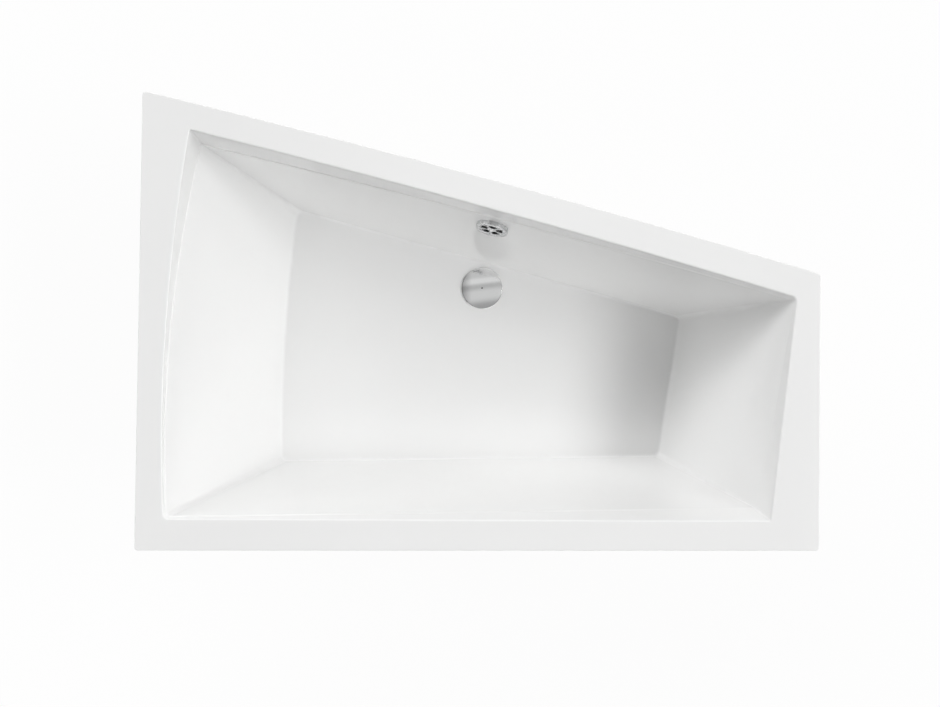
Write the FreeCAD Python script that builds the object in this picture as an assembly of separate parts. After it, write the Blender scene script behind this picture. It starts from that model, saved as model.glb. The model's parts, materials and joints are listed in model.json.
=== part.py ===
"""Asymmetric built-in bathtub with its frame, waste, overflow and lifting plug.

Millimetres, +Z up. X runs along the long straight side, Y across it, and the
slanted side lies towards +Y. The origin is on the ground under the middle of the rim.
"""
import FreeCAD
import Part
import math
import os

V = FreeCAD.Vector
UP = V(0, 0, 1)

# Rim
rim_length = 1600.0
rim_depth_left = 1050.0
rim_depth_right = 660.0
rim_bow_back = 12.0
rim_corner_radius = 8.0
rim_edge_round = 4.0
shell_thickness = 5.0
lip_height = 38.0

# Opening in the rim, as rim widths at its four corners, each square to the side it lies along
opening_left_at_front = 63.0
opening_left_at_back = 107.0
opening_right_at_front = 119.0
opening_right_at_back = 58.0
opening_front_at_left = 71.0
opening_front_at_right = 70.0
opening_back_at_left = 58.2
opening_back_at_right = 69.1
opening_sharp_radius = 6.0
opening_soft_radius = 13.0
opening_bow_left = 23.0
opening_bow_back = 9.0
opening_edge_round = 3.5

# Crease under the opening, deep at two corners and shallow at the other two
crease_depth_front_left = 10.0
crease_depth_front_right = 62.0
crease_depth_back_right = 10.0
crease_depth_back_left = 105.0
crease_inset_shallow_x = 4.0
crease_inset_shallow_y = 3.5
crease_inset_front_right_x = 8.5
crease_inset_front_right_y = 22.0
crease_inset_back_left_x = 10.5
crease_inset_back_left_y = 12.0
crease_sharp_radius = 9.0
crease_soft_radius = 15.0
crease_bow_left = 30.0
crease_bow_back = 9.0

# Floor of the basin, as distances square to the rim's outer edges
basin_depth = 430.0
floor_left_at_front = 294.0
floor_left_at_back = 324.5
floor_right_at_front = 285.5
floor_right_at_back = 228.0
floor_front_at_left = 173.5
floor_front_at_right = 193.5
floor_back_at_left = 121.8
floor_back_at_right = 136.1
floor_corner_radius = 18.0
floor_bow_left = 13.0
floor_edge_round = 16.0

# Backing, board and stiffening strips
bond_gap = 0.3
pick_tolerance = 0.2
backing_thickness = 3.0
backing_drain_gap = 6.0
backing_overflow_gap = 7.0
board_thickness = 18.0
board_inset = 30.0
board_notch_gap = 18.0
batten_width = 34.0
batten_thickness = 15.0
batten_lip_gap = 3.0
batten_end_front = 60.0
batten_end_right = 85.0
batten_end_back = 130.0
batten_end_left = 85.0

# Rails, screws and feet
rail_from_left = 410.0
rail_from_right = 410.0
rail_end_inset = 40.0
rail_web_width = 44.0
rail_lip_width = 20.0
rail_height = 40.0
rail_sheet = 2.5
rail_screw_end = 70.0
rail_screw_radius = 2.2
rail_screw_clearance = 0.3
rail_screw_pilot_gap = 0.05
rail_screw_bite = 14.0
rail_screw_head_radius = 4.6
rail_screw_head_height = 3.2
foot_end = 32.0
foot_stud_radius = 6.0
foot_stud_fit = 0.08
foot_stud_room = 13.4
foot_stud_chamfer = 1.0
foot_nut_flats = 19.0
foot_nut_height = 10.0
foot_lock_nut_height = 6.0
foot_pad_radius = 28.0
foot_pad_top_radius = 15.0
foot_pad_rim_height = 5.0
foot_pad_height = 16.0
foot_socket_depth = 8.0
foot_socket_gap = 0.2
foot_hex_flats = 18.0
hexagon_sides = 6
web_hole_clearance = 0.6

# Waste in the floor
drain_x = 24.3
drain_from_back = 70.2
seal_squeeze_gap = 0.1
seal_hole_gap = 1.0
body_bore = 44.2
body_wall = 5.8
body_flange_over = 1.0
body_flange_height = 6.0
drain_hole_gap = 1.0
flange_collar_fit = 0.2
flange_collar_wall = 6.0
flange_collar_length = 25.7
flange_overlap = 6.6
flange_plate = 2.0
flange_seal_thickness = 1.5
flange_seal_inset = 0.6
pocket_gap = 0.4
pocket_depth = 4.0
pocket_boss_margin = 5.0
cross_hub_radius = 8.0
cross_hub_height = 8.0
cross_hub_drop = 20.8
cross_arm_width = 4.0
cross_arm_count = 3
gasket_thickness = 3.0
inlet_nut_gap = 6.4
inlet_floor_gap = 1.0
inlet_length = 30.0
partition_thickness = 4.0
partition_hole = 22.0
skirt_outer = 52.0
skirt_wall = 5.0
outlet_roof_gap = 1.0
outlet_outer = 20.0
outlet_wall = 3.0
outlet_length = 30.0
cup_collar_wall = 4.3
cup_collar_rise = 18.0
cup_collar_gap = 2.0
cup_fit = 0.2
cup_seal_thickness = 2.8
cup_wall = 4.0
cup_ledge = 3.0
cup_depth = 40.0
cup_bottom_thickness = 4.0
cup_grip_height = 10.0
cup_grip_width = 12.0
cup_grip_radius = 30.0
cup_ground_gap = 4.0
dip_flange_over = 4.0
dip_flange_height = 3.0
dip_fit = 0.3
dip_wall = 2.3
dip_water_gap = 8.0

# Lifting plug
cover_over = 4.0
cover_edge = 2.6
cover_rise = 3.0
cover_gap = 1.2
cover_edge_round = 1.0
carrier_height = 10.0
carrier_recess = 0.1
carrier_ledge_width = 4.0
carrier_ledge_height = 2.8
plug_seal_gap = 0.4
plug_seal_width = 8.5
plug_seal_fit = 0.1
plug_seal_height = 4.0
stem_radius = 4.0
stem_fit = 0.1
plug_lift = 12.0

# Crank under the plug
crank_offset = 26.0
crank_shaft_radius = 4.0
crank_shaft_fit = 0.1
crank_tip_radius = 3.0
crank_finger_half_width = 4.0
crank_finger_half_height = 1.8
crank_touch_gap = 0.3
crank_inner_end = 9.0
crank_end_over = 1.5
crank_boss_radius = 11.0
crank_boss_cover = 1.3
crank_boss_over = 1.5
crank_bush_radius = 8.0
crank_bush_length = 7.0
crank_bush_fit = 0.05
lever_length = 22.0
lever_boss_gap = 2.0
lever_thickness = 4.0
lever_hub_radius = 8.0
lever_tip_radius = 6.0
lever_hole_radius = 2.8
lever_hub_fit = 0.05

# Cable between the overflow and the crank
cable_radius = 3.0
cable_lever_gap = 0.5
cable_bend = 70.0
cable_core_radius = 1.0
cable_core_gap = 0.4
cable_bore_spare = 16.0
core_inside = 34.0
nipple_radius = 2.0
nipple_overhang = 2.0
stop_near = 3.0
stop_floor = 3.0
stop_depth = 8.0
stop_half_height = 8.0
stop_margin = 6.5
stop_root_depth = 1.8
stop_fit = 0.05
cable_top_side = 28.0
cable_top_inside = 6.0
cable_nipple_wall = 3.0
cable_nipple_length = 26.0

# Overflow in the back wall
overflow_x = 21.5
overflow_depth = 124.0
overflow_hole_radius = 27.0
bezel_gap = 0.2
bezel_over = 7.0
bezel_plate = 3.5
bezel_hub_radius = 9.0
bezel_hub_back = 16.0
bezel_hub_front = 0.5
bezel_window_hub_gap = 3.0
bezel_window_rim_gap = 1.5
bezel_window_deg = 58.0
bezel_window_count = 4
fixing_screw_pitch = 20.0
fixing_screw_radius = 2.4
fixing_screw_fit = 0.2
fixing_head_radius = 4.2
fixing_head_height = 2.4
fixing_screw_bite = 12.0
fixing_screw_pilot_gap = 0.05
fixing_hole_spare = 0.5
fixing_boss_radius = 5.0
overflow_gasket_gap = 1.0
overflow_gasket_width = 10.0
overflow_gasket_thickness = 3.0
housing_flange_over = 1.0
housing_flange = 4.0
housing_bore_gap = 4.0
housing_wall = 3.0
housing_depth = 50.0
housing_back = 3.0
housing_boss_start = 20.0
bearing_boss_radius = 9.0
bearing_boss_length = 9.0
bearing_end_gap = 0.5
spindle_radius = 5.0
spindle_fit = 0.08
cam_radius = 11.0
cam_thickness = 6.0
cam_front = 26.0
cam_pin_radius = 1.8
cam_pin_pitch = 7.2
cam_pin_length = 5.0
knob_side_gap = 3.4
knob_back_gap = 1.6
knob_inside_gap = 2.7
knob_wall = 2.6
knob_edge_round = 1.6
knob_dish_margin = 10.0
knob_dish_depth = 1.6
knob_boss_radius = 9.5
knob_boss_gap = 0.6
knob_socket_fit = 0.05
knob_socket_floor = 2.4
knob_slot_boss_gap = 3.5
knob_slot_rim_gap = 3.0
knob_slot_count = 5
knob_slot_deg = 46.0
knob_screw_head_radius = 5.0
knob_screw_head_height = 1.4
knob_screw_radius = 2.0
knob_screw_length = 16.0
knob_screw_fit = 0.1
knob_screw_hole_spare = 0.5

# Overflow pipe and its nuts
pipe_outer = 15.0
pipe_wall = 3.0
pipe_back = 30.0
pipe_spigot_length = 28.0
pipe_bend = 62.0
pipe_seal_thickness = 2.0
pipe_seal_inset = 0.2
nut_wall = 6.5
nut_fit = 0.2
nut_length = 26.0
nut_flat_count = 8
outlet_nut_wall = 8.0
outlet_seal_thickness = 2.5
outlet_nut_length = 28.0
outlet_nut_over = 16.0
bend_radius = 42.0
bend_deg = 45.0
bend_lead = 22.0
bend_spigot = 46.0
bend_fit = 0.3

# Radii that follow from the sizes
pipe_inner = pipe_outer - pipe_wall
nut_outer = pipe_outer + nut_wall
outlet_inner = outlet_outer - outlet_wall
flange_collar_outer = body_bore - flange_collar_fit
flange_inner = flange_collar_outer - flange_collar_wall
drain_hole_radius = flange_collar_outer + drain_hole_gap
flange_outer = drain_hole_radius + flange_overlap
pocket_radius = flange_outer + pocket_gap
boss_radius = pocket_radius + pocket_boss_margin
body_outer = body_bore + body_wall
body_flange_outer = boss_radius + body_flange_over
cover_radius = pocket_radius + cover_over
plug_seal_outer = flange_inner - plug_seal_gap
carrier_radius = plug_seal_outer - plug_seal_width - plug_seal_fit
skirt_inner = skirt_outer - skirt_wall
cup_inner = skirt_outer - cup_wall
dip_outer = partition_hole - dip_fit
bezel_radius = overflow_hole_radius + bezel_over
housing_inner = overflow_hole_radius + housing_bore_gap
housing_outer = housing_inner + housing_wall
overflow_gasket_inner = overflow_hole_radius + overflow_gasket_gap
overflow_gasket_outer = overflow_gasket_inner + overflow_gasket_width
housing_flange_outer = overflow_gasket_outer + housing_flange_over
knob_radius = bezel_radius + knob_side_gap + knob_wall
knob_dish_radius = knob_radius - knob_dish_margin

# Heights that follow from the sizes, built up from the ground
inlet_drop = shell_thickness + bond_gap + backing_thickness + inlet_nut_gap
inlet_drop += nut_outer / math.cos(math.pi / nut_flat_count)
partition_drop = inlet_drop + pipe_outer + inlet_floor_gap
outlet_drop = partition_drop + partition_thickness + outlet_inner + outlet_roof_gap
skirt_drop = outlet_drop + outlet_outer + cup_collar_gap + cup_collar_rise
cup_low = cup_ground_gap + cup_grip_height
floor_top = cup_low + cup_depth + skirt_drop
rim_height = floor_top + basin_depth
rim_under = rim_height - shell_thickness
shell_low = floor_top - shell_thickness
backing_low = shell_low - bond_gap - backing_thickness
board_top = backing_low - bond_gap
board_low = board_top - board_thickness

# Places that follow from the sizes
edge_left = -rim_length / 2
edge_right = rim_length / 2
edge_front = -rim_depth_left / 2
edge_back_left = rim_depth_left / 2
edge_back_right = edge_front + rim_depth_right
crank_boss_start = math.sqrt(body_bore * body_bore - crank_offset * crank_offset) + crank_boss_cover
crank_boss_end = body_outer + crank_boss_over
lever_start = crank_boss_end + lever_boss_gap
lever_end = lever_start + lever_thickness
cable_side = lever_end + cable_lever_gap + cable_radius
stop_seat = stop_near + stop_floor
stop_far = stop_seat + stop_depth
cable_bore_radius = cable_core_radius + cable_core_gap
knob_seat = bezel_gap + bezel_plate + fixing_head_height + knob_inside_gap + knob_wall
knob_front = knob_seat + knob_dish_depth


def corner_points(left_front, left_back, right_front, right_back, front_left, front_right, back_left,
                  back_right):
    """Four plan corners from distances square to the rim's edges, front left first, counter-clockwise."""
    slope = (edge_back_right - edge_back_left) / rim_length
    stretch = math.sqrt(1 + slope * slope)
    reach = rim_length - right_back
    return [V(edge_left + left_front, edge_front + front_left, 0),
            V(edge_right - right_front, edge_front + front_right, 0),
            V(edge_left + reach, edge_back_left + slope * reach - back_right * stretch, 0),
            V(edge_left + left_back, edge_back_left + slope * left_back - back_left * stretch, 0)]


RIM = corner_points(0, 0, 0, 0, 0, 0, 0, 0)
OPENING = corner_points(opening_left_at_front, opening_left_at_back, opening_right_at_front,
                        opening_right_at_back, opening_front_at_left, opening_front_at_right,
                        opening_back_at_left, opening_back_at_right)
CREASE_INSET = [V(crease_inset_shallow_x, crease_inset_shallow_y, 0),
                V(-crease_inset_front_right_x, crease_inset_front_right_y, 0),
                V(-crease_inset_shallow_x, -crease_inset_shallow_y, 0),
                V(crease_inset_back_left_x, -crease_inset_back_left_y, 0)]
CREASE_DEPTH = [crease_depth_front_left, crease_depth_front_right, crease_depth_back_right,
                crease_depth_back_left]
FLOOR = corner_points(floor_left_at_front, floor_left_at_back, floor_right_at_front, floor_right_at_back,
                      floor_front_at_left, floor_front_at_right, floor_back_at_left, floor_back_at_right)


def side_y(corners, index, x):
    """Y of one side of an outline at a given X."""
    start, end = corners[index], corners[(index + 1) % len(corners)]
    return start.y + (x - start.x) * (end.y - start.y) / (end.x - start.x)


def lifted(points, heights):
    """The plan points, each at its own height."""
    return [V(p.x, p.y, h) for p, h in zip(points, heights)]


def grown(points, distance):
    """The corners of the outline moved outwards by a distance, side by side."""
    count = len(points)
    result = []
    for i in range(count):
        before = (points[i] - points[i - 1]).normalize()
        after = (points[(i + 1) % count] - points[i]).normalize()
        out_before = V(before.y, -before.x, 0)
        out_after = V(after.y, -after.x, 0)
        reach = distance / (1 + out_before.dot(out_after))
        result.append(points[i] + (out_before + out_after) * reach)
    return result


def outline(corners, radii, bows):
    """Edges of a closed outline: four sides, each straight or bowed, and four rounded corners."""
    count = len(corners)
    flat = [V(c.x, c.y, 0) for c in corners]
    leaving, arriving, middles = [], [], []
    for i in range(count):
        chord = flat[(i + 1) % count] - flat[i]
        along = V(chord).normalize()
        out = V(along.y, -along.x, 0)
        lean = math.atan2(4 * bows[i], chord.Length)
        leaving.append(along * math.cos(lean) + out * math.sin(lean))
        arriving.append(along * math.cos(lean) - out * math.sin(lean))
        middles.append((corners[i] + corners[(i + 1) % count]) / 2 + out * bows[i])
    starts, ends, tops = [], [], []
    for i in range(count):
        turn = arriving[i - 1].getAngle(leaving[i])
        trim = radii[i] * math.tan(turn / 2)
        before, here, after = corners[i - 1], corners[i], corners[(i + 1) % count]
        start = flat[i] - arriving[i - 1] * trim
        end = flat[i] + leaving[i] * trim
        start.z = here.z + (before.z - here.z) * trim / (flat[i] - flat[i - 1]).Length
        end.z = here.z + (after.z - here.z) * trim / (flat[(i + 1) % count] - flat[i]).Length
        inward = (leaving[i] - arriving[i - 1]).normalize()
        top = flat[i] + inward * (radii[i] / math.cos(turn / 2) - radii[i])
        top.z = (start.z + end.z) / 2
        starts.append(start)
        ends.append(end)
        tops.append(top)
    edges = []
    for i in range(count):
        j = (i + 1) % count
        if bows[i]:
            edges.append(Part.Arc(ends[i], middles[i], starts[j]).toShape())
        else:
            edges.append(Part.LineSegment(ends[i], starts[j]).toShape())
        edges.append(Part.Arc(starts[j], tops[j], ends[j]).toShape())
    return edges


def basin(distance):
    """The hollow of the basin grown outwards by a distance, with its floor edge rounded."""
    soft, sharp = opening_soft_radius + distance, opening_sharp_radius + distance
    rim_level = lifted(grown(OPENING, distance), [rim_height] * len(OPENING))
    top = outline(rim_level, [soft, sharp, soft, sharp], [0, 0, opening_bow_back, opening_bow_left])
    plan = [p + inset for p, inset in zip(OPENING, CREASE_INSET)]
    soft, sharp = crease_soft_radius + distance, crease_sharp_radius + distance
    crease_level = lifted(grown(plan, distance), [rim_height - d for d in CREASE_DEPTH])
    crease = outline(crease_level, [soft, sharp, soft, sharp], [0, 0, crease_bow_back, crease_bow_left])
    floor_level = lifted(grown(FLOOR, distance), [floor_top - distance] * len(FLOOR))
    low = outline(floor_level, [floor_corner_radius + distance] * len(FLOOR), [0, 0, 0, floor_bow_left])
    solid = Part.makeLoft([Part.Wire(low), Part.Wire(crease), Part.Wire(top)], True, True)
    floor_edges = [e for e in solid.Edges if e.BoundBox.ZMax < floor_top - distance + pick_tolerance]
    return solid.makeFillet(floor_edge_round + distance, floor_edges)


def plate(points, low, high):
    """Upright prism over a polygon."""
    ring = [V(p.x, p.y, low) for p in points]
    return Part.Face(Part.makePolygon(ring + ring[:1])).extrude(V(0, 0, high - low))


def block(low, high):
    """Box between two opposite corners."""
    return Part.makeBox(high.x - low.x, high.y - low.y, high.z - low.z, low)


def rod(radius, start, end):
    """Round bar between two points."""
    return Part.makeCylinder(radius, (end - start).Length, start, end - start)


def tube(outer, inner, low, high):
    """Ring about the local Z axis."""
    return rod(outer, V(0, 0, low), V(0, 0, high)).cut(rod(inner, V(0, 0, low), V(0, 0, high)))


def turned(profile):
    """Solid turned about the local Z axis from (radius, height) points."""
    ring = [V(r, 0, z) for r, z in profile]
    return Part.Face(Part.makePolygon(ring + ring[:1])).revolve(V(0, 0, 0), UP, 360)


def prism(across, count, low, high):
    """Regular prism about the local Z axis, measured across its flats."""
    radius = across / 2 / math.cos(math.pi / count)
    turn = 2 * math.pi / count
    ring = [V(radius * math.cos(turn * i), radius * math.sin(turn * i), low) for i in range(count + 1)]
    return Part.Face(Part.makePolygon(ring)).extrude(V(0, 0, high - low))


def sector(outer, inner, low, high, middle_deg, wide_deg):
    """Part of a ring about the local Z axis."""
    part = Part.makeCylinder(outer, high - low, V(0, 0, low), UP, wide_deg)
    part.rotate(V(0, 0, 0), UP, middle_deg - wide_deg / 2)
    return part.cut(rod(inner, V(0, 0, low), V(0, 0, high)))


def frame_at(origin, x_axis, z_axis):
    """Placement with the given local X and Z directions."""
    return FreeCAD.Placement(origin, FreeCAD.Rotation(x_axis, z_axis.cross(x_axis), z_axis, "ZXY"))


def placed(shape, placement):
    """Copy of a shape moved by a placement."""
    copy = shape.copy()
    copy.Placement = placement.multiply(copy.Placement)
    return copy


def elbow_path(start, first, corner, second, end, radius):
    """Wire from start to end with one arc that is tangent to both straight runs."""
    half = first.getAngle(second) / 2
    trim = radius * math.tan(half)
    begin = corner - first * trim
    finish = corner + second * trim
    inward = (second - first).normalize()
    middle = corner + inward * (radius / math.cos(half) - radius)
    return Part.Wire([Part.LineSegment(start, begin).toShape(),
                      Part.Arc(begin, middle, finish).toShape(),
                      Part.LineSegment(finish, end).toShape()])


def swept(path, radius):
    """Round bar along a path."""
    start = path.Edges[0].Vertexes[0].Point
    direction = path.Edges[0].tangentAt(path.Edges[0].FirstParameter)
    profile = Part.Wire(Part.Circle(start, direction, radius).toShape())
    return path.makePipeShell([profile], True, False)


def wall_point(solid, start, direction):
    """Where a line from inside a solid leaves it, and the outward normal of the face there."""
    inside = Part.makeLine(start, start + direction * rim_depth_left).common(solid)
    point = max((v.Point for v in inside.Vertexes), key=lambda p: (p - start).Length)
    face = min(solid.Faces, key=lambda f: f.distToShape(Part.Vertex(point))[0])
    normal = face.normalAt(*face.Surface.parameter(point))
    return point, normal if normal.dot(direction) > 0 else normal * -1


CAVITY = basin(0)
OUTSIDE = basin(shell_thickness)
hit, outward = wall_point(CAVITY, V(overflow_x, 0, rim_height - overflow_depth), V(0, 1, 0))
OVERFLOW = frame_at(hit, UP.cross(outward * -1).normalize(), outward * -1)
wall_thickness = (wall_point(OUTSIDE, hit - outward * shell_thickness, outward)[0] - hit).Length
gasket_front = -wall_thickness - seal_squeeze_gap
housing_front = gasket_front - overflow_gasket_thickness - seal_squeeze_gap
housing_end = housing_front - housing_depth

pipe_axis_top = OVERFLOW.multVec(V(0, 0, housing_front - pipe_back))
floor_back = FLOOR[2] - FLOOR[3]
drain_y = side_y(FLOOR, 2, drain_x) - drain_from_back * floor_back.Length / floor_back.x
DRAIN_AXIS = V(drain_x, drain_y, 0)
toward_pipe = V(pipe_axis_top.x - drain_x, pipe_axis_top.y - drain_y, 0)
pipe_reach = toward_pipe.Length
toward_pipe.normalize()
DRAIN = frame_at(DRAIN_AXIS, toward_pipe, UP)

pocket_floor = floor_top - pocket_depth
boss_low = pocket_floor - shell_thickness
flange_low = pocket_floor + seal_squeeze_gap + flange_seal_thickness + seal_squeeze_gap
flange_top = flange_low + flange_plate
gasket_top = boss_low - seal_squeeze_gap
body_top = gasket_top - gasket_thickness - seal_squeeze_gap
partition_top = floor_top - partition_drop
partition_low = partition_top - partition_thickness
skirt_low = floor_top - skirt_drop
inlet_height = floor_top - inlet_drop
outlet_height = floor_top - outlet_drop
cover_low = floor_top + cover_gap
hub_top = floor_top - cross_hub_drop + cross_hub_height
crank_half_deg = math.degrees(math.asin(plug_lift / 2 / crank_offset))
crank_travel_deg = 2 * crank_half_deg
crank_height = hub_top - cross_hub_height - crank_touch_gap - plug_lift / 2 - crank_tip_radius
stem_low = crank_height - plug_lift / 2 + crank_tip_radius + crank_touch_gap
cable_height = crank_height - lever_length * (1 + math.cos(math.radians(crank_half_deg))) / 2
cable_travel = 2 * lever_length * math.sin(math.radians(crank_half_deg))


def rim_lip():
    """The flat rim and the lip that hangs from its outer edge."""
    radii = [rim_corner_radius] * len(RIM)
    bows = [0, 0, rim_bow_back, 0]
    outer = Part.Face(Part.Wire(outline(lifted(RIM, [rim_height] * len(RIM)), radii, bows)))
    inside = lifted(grown(RIM, -shell_thickness), [rim_under] * len(RIM))
    inner_radii = [rim_corner_radius - shell_thickness] * len(RIM)
    inner = Part.Face(Part.Wire(outline(inside, inner_radii, bows)))
    skirt = outer.extrude(V(0, 0, -lip_height))
    skirt = skirt.makeFillet(rim_edge_round, [e for e in skirt.Edges if e.BoundBox.ZMin > rim_under])
    return skirt.cut(inner.extrude(V(0, 0, -lip_height)))


def tub_shell():
    """Formed sheet: rim, lip, walls and floor with the holes for the waste and the overflow."""
    boss = rod(boss_radius, DRAIN_AXIS + V(0, 0, boss_low), DRAIN_AXIS + V(0, 0, floor_top))
    body = rim_lip().fuse([OUTSIDE, boss]).removeSplitter().cut(CAVITY)
    rounded = [e for e in body.Edges if e.BoundBox.ZMin > rim_height - pick_tolerance and near_opening(e)]
    body = body.makeFillet(opening_edge_round, rounded)
    pocket = rod(pocket_radius, DRAIN_AXIS + V(0, 0, pocket_floor), DRAIN_AXIS + V(0, 0, rim_height))
    hole = rod(drain_hole_radius, DRAIN_AXIS, DRAIN_AXIS + V(0, 0, rim_height))
    return body.cut([pocket, hole, overflow_cutter(overflow_hole_radius)])


def near_opening(edge):
    """True for an edge that lies on the opening's outline rather than on the rim's."""
    middle = edge.valueAt((edge.FirstParameter + edge.LastParameter) / 2)
    return CAVITY.distToShape(Part.Vertex(middle))[0] < pick_tolerance


def overflow_cutter(radius):
    """Round bar through the wall at the overflow."""
    return placed(rod(radius, V(0, 0, -housing_depth), V(0, 0, housing_depth)), OVERFLOW)


def laminate_backing():
    """Glass fibre layer on the outside of the walls and the floor."""
    near = shell_thickness + bond_gap
    layer = basin(near + backing_thickness).cut(basin(near))
    above = block(V(edge_left, edge_front, rim_under - bond_gap), V(edge_right, edge_back_left, rim_height))
    drain = rod(body_flange_outer + backing_drain_gap, DRAIN_AXIS, DRAIN_AXIS + V(0, 0, floor_top))
    return layer.cut([above, drain, overflow_cutter(housing_flange_outer + backing_overflow_gap)])


def base_board():
    """Board under the floor with a notch for the waste and pilot holes for the rail screws."""
    board = plate(grown(FLOOR, -board_inset), board_low, board_top)
    wide = body_flange_outer + board_notch_gap
    notch = rod(wide, V(0, 0, board_low), V(0, 0, board_top))
    notch = notch.fuse(block(V(0, -wide, board_low), V(pipe_reach, wide, board_top)))
    pilot = rail_screw_radius + rail_screw_pilot_gap
    pilots = [rod(pilot, p + V(0, 0, board_low), p + V(0, 0, board_low + rail_screw_bite))
              for p in rail_screw_places()]
    return board.cut([placed(notch, DRAIN)] + pilots)


def batten(start, end):
    """Stiffening strip under the rim, lying to the left of the line from start to end."""
    along = (end - start).normalize()
    side = V(-along.y, along.x, 0)
    near = shell_thickness + batten_lip_gap
    far = near + batten_width
    top = rim_under - bond_gap
    return plate([start + side * near, end + side * near, end + side * far, start + side * far],
                 top - batten_thickness, top)


def rim_battens():
    """One strip along each side of the rim."""
    margins = {"front": batten_end_front, "right": batten_end_right, "back": batten_end_back,
               "left": batten_end_left}
    made = {}
    for i, (name, margin) in enumerate(margins.items()):
        start, end = RIM[i], RIM[(i + 1) % len(RIM)]
        along = (end - start).normalize()
        made["rim_batten_" + name] = batten(start + along * margin, end - along * margin)
    return made


def rail_spans():
    """The two rails: X place, front end and back end."""
    spans = {}
    for name, x in (("left", edge_left + rail_from_left), ("right", edge_right - rail_from_right)):
        spans[name] = (x, side_y(FLOOR, 0, x) + rail_end_inset, side_y(FLOOR, 2, x) - rail_end_inset)
    return spans


def foot_places():
    """Plan places of the four feet, by name."""
    places = {}
    for name, (x, front, back) in rail_spans().items():
        places["front_" + name] = V(x, front + foot_end, 0)
        places["back_" + name] = V(x, back - foot_end, 0)
    return places


def rail_screw_places():
    """Plan places of the screws that hold the rails to the board."""
    side = rail_web_width / 2 + rail_lip_width / 2
    return [V(x + s * side, y, 0) for x, front, back in rail_spans().values()
            for s in (-1, 1) for y in (front + rail_screw_end, back - rail_screw_end)]


def leg_rail(x, front, back):
    """Hat-shaped steel rail across the tub."""
    web, lip = rail_web_width / 2, rail_web_width / 2 + rail_lip_width
    low, high, sheet = board_low - rail_height, board_low, rail_sheet
    half = [(web, low), (web, high - sheet), (lip, high - sheet), (lip, high),
            (web - sheet, high), (web - sheet, low + sheet)]
    ring = [V(x + a, front, z) for a, z in half] + [V(x - a, front, z) for a, z in reversed(half)]
    rail = Part.Face(Part.makePolygon(ring + ring[:1])).extrude(V(0, back - front, 0))
    stud_hole = foot_stud_radius + web_hole_clearance
    screw_hole = rail_screw_radius + rail_screw_clearance
    holes = [rod(stud_hole, p + V(0, 0, low), p + V(0, 0, high)) for p in foot_places().values()]
    holes += [rod(screw_hole, p + V(0, 0, low), p + V(0, 0, high + sheet)) for p in rail_screw_places()]
    return rail.cut(holes)


def rail_screws():
    """Pan-head screws from below through the rail lips into the board."""
    under = board_low - rail_sheet
    made = []
    for p in rail_screw_places():
        head = rod(rail_screw_head_radius, p + V(0, 0, under - rail_screw_head_height), p + V(0, 0, under))
        shank = rod(rail_screw_radius, p + V(0, 0, under), p + V(0, 0, board_low + rail_screw_bite))
        made.append(head.fuse(shank).removeSplitter())
    return Part.makeCompound(made)


def rail_nuts(height, low):
    """One nut per foot, starting at the given height."""
    nut = prism(foot_nut_flats, hexagon_sides, low, low + height)
    nut = nut.cut(rod(foot_stud_radius + foot_stud_fit, V(0, 0, low), V(0, 0, low + height)))
    return Part.makeCompound([nut.translated(p) for p in foot_places().values()])


def foot_stud():
    """Threaded stud with the hexagon that the pad holds."""
    low = foot_pad_height - foot_socket_depth
    stud = rod(foot_stud_radius, V(0, 0, low), V(0, 0, board_low - foot_stud_room))
    top = max(stud.Edges, key=lambda e: e.BoundBox.ZMin)
    stud = stud.makeChamfer(foot_stud_chamfer, [top])
    return stud.fuse(prism(foot_hex_flats, hexagon_sides, low, foot_pad_height)).removeSplitter()


def foot_pad():
    """Pad on the ground with a socket for the stud's hexagon."""
    pad = turned([(0, 0), (foot_pad_radius, 0), (foot_pad_radius, foot_pad_rim_height),
                  (foot_pad_top_radius, foot_pad_height), (0, foot_pad_height)])
    socket = foot_hex_flats + 2 * foot_socket_gap
    return pad.cut(prism(socket, hexagon_sides, foot_pad_height - foot_socket_depth, foot_pad_height))


def feet():
    """Stud and pad of each foot."""
    made = {}
    for name, place in foot_places().items():
        made["foot_stud_" + name] = foot_stud().translated(place)
        made["foot_pad_" + name] = foot_pad().translated(place)
    return made


def drain_flange():
    """Ring in the floor recess with a collar and a three-armed guide for the plug stem."""
    ring = tube(flange_outer, flange_inner, flange_low, flange_top)
    collar = tube(flange_collar_outer, flange_inner, flange_top - flange_collar_length, flange_top)
    hub = rod(cross_hub_radius, V(0, 0, hub_top - cross_hub_height), V(0, 0, hub_top))
    arms = []
    wide = (flange_inner + flange_collar_outer) / 2
    for i in range(cross_arm_count):
        arm = block(V(0, -cross_arm_width / 2, hub_top - cross_hub_height),
                    V(wide, cross_arm_width / 2, hub_top))
        arm.rotate(V(0, 0, 0), UP, 180 + 360 * i / cross_arm_count)
        arms.append(arm)
    bore = rod(stem_radius + stem_fit, V(0, 0, 0), V(0, 0, floor_top))
    return ring.fuse([collar, hub] + arms).removeSplitter().cut(bore)


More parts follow.
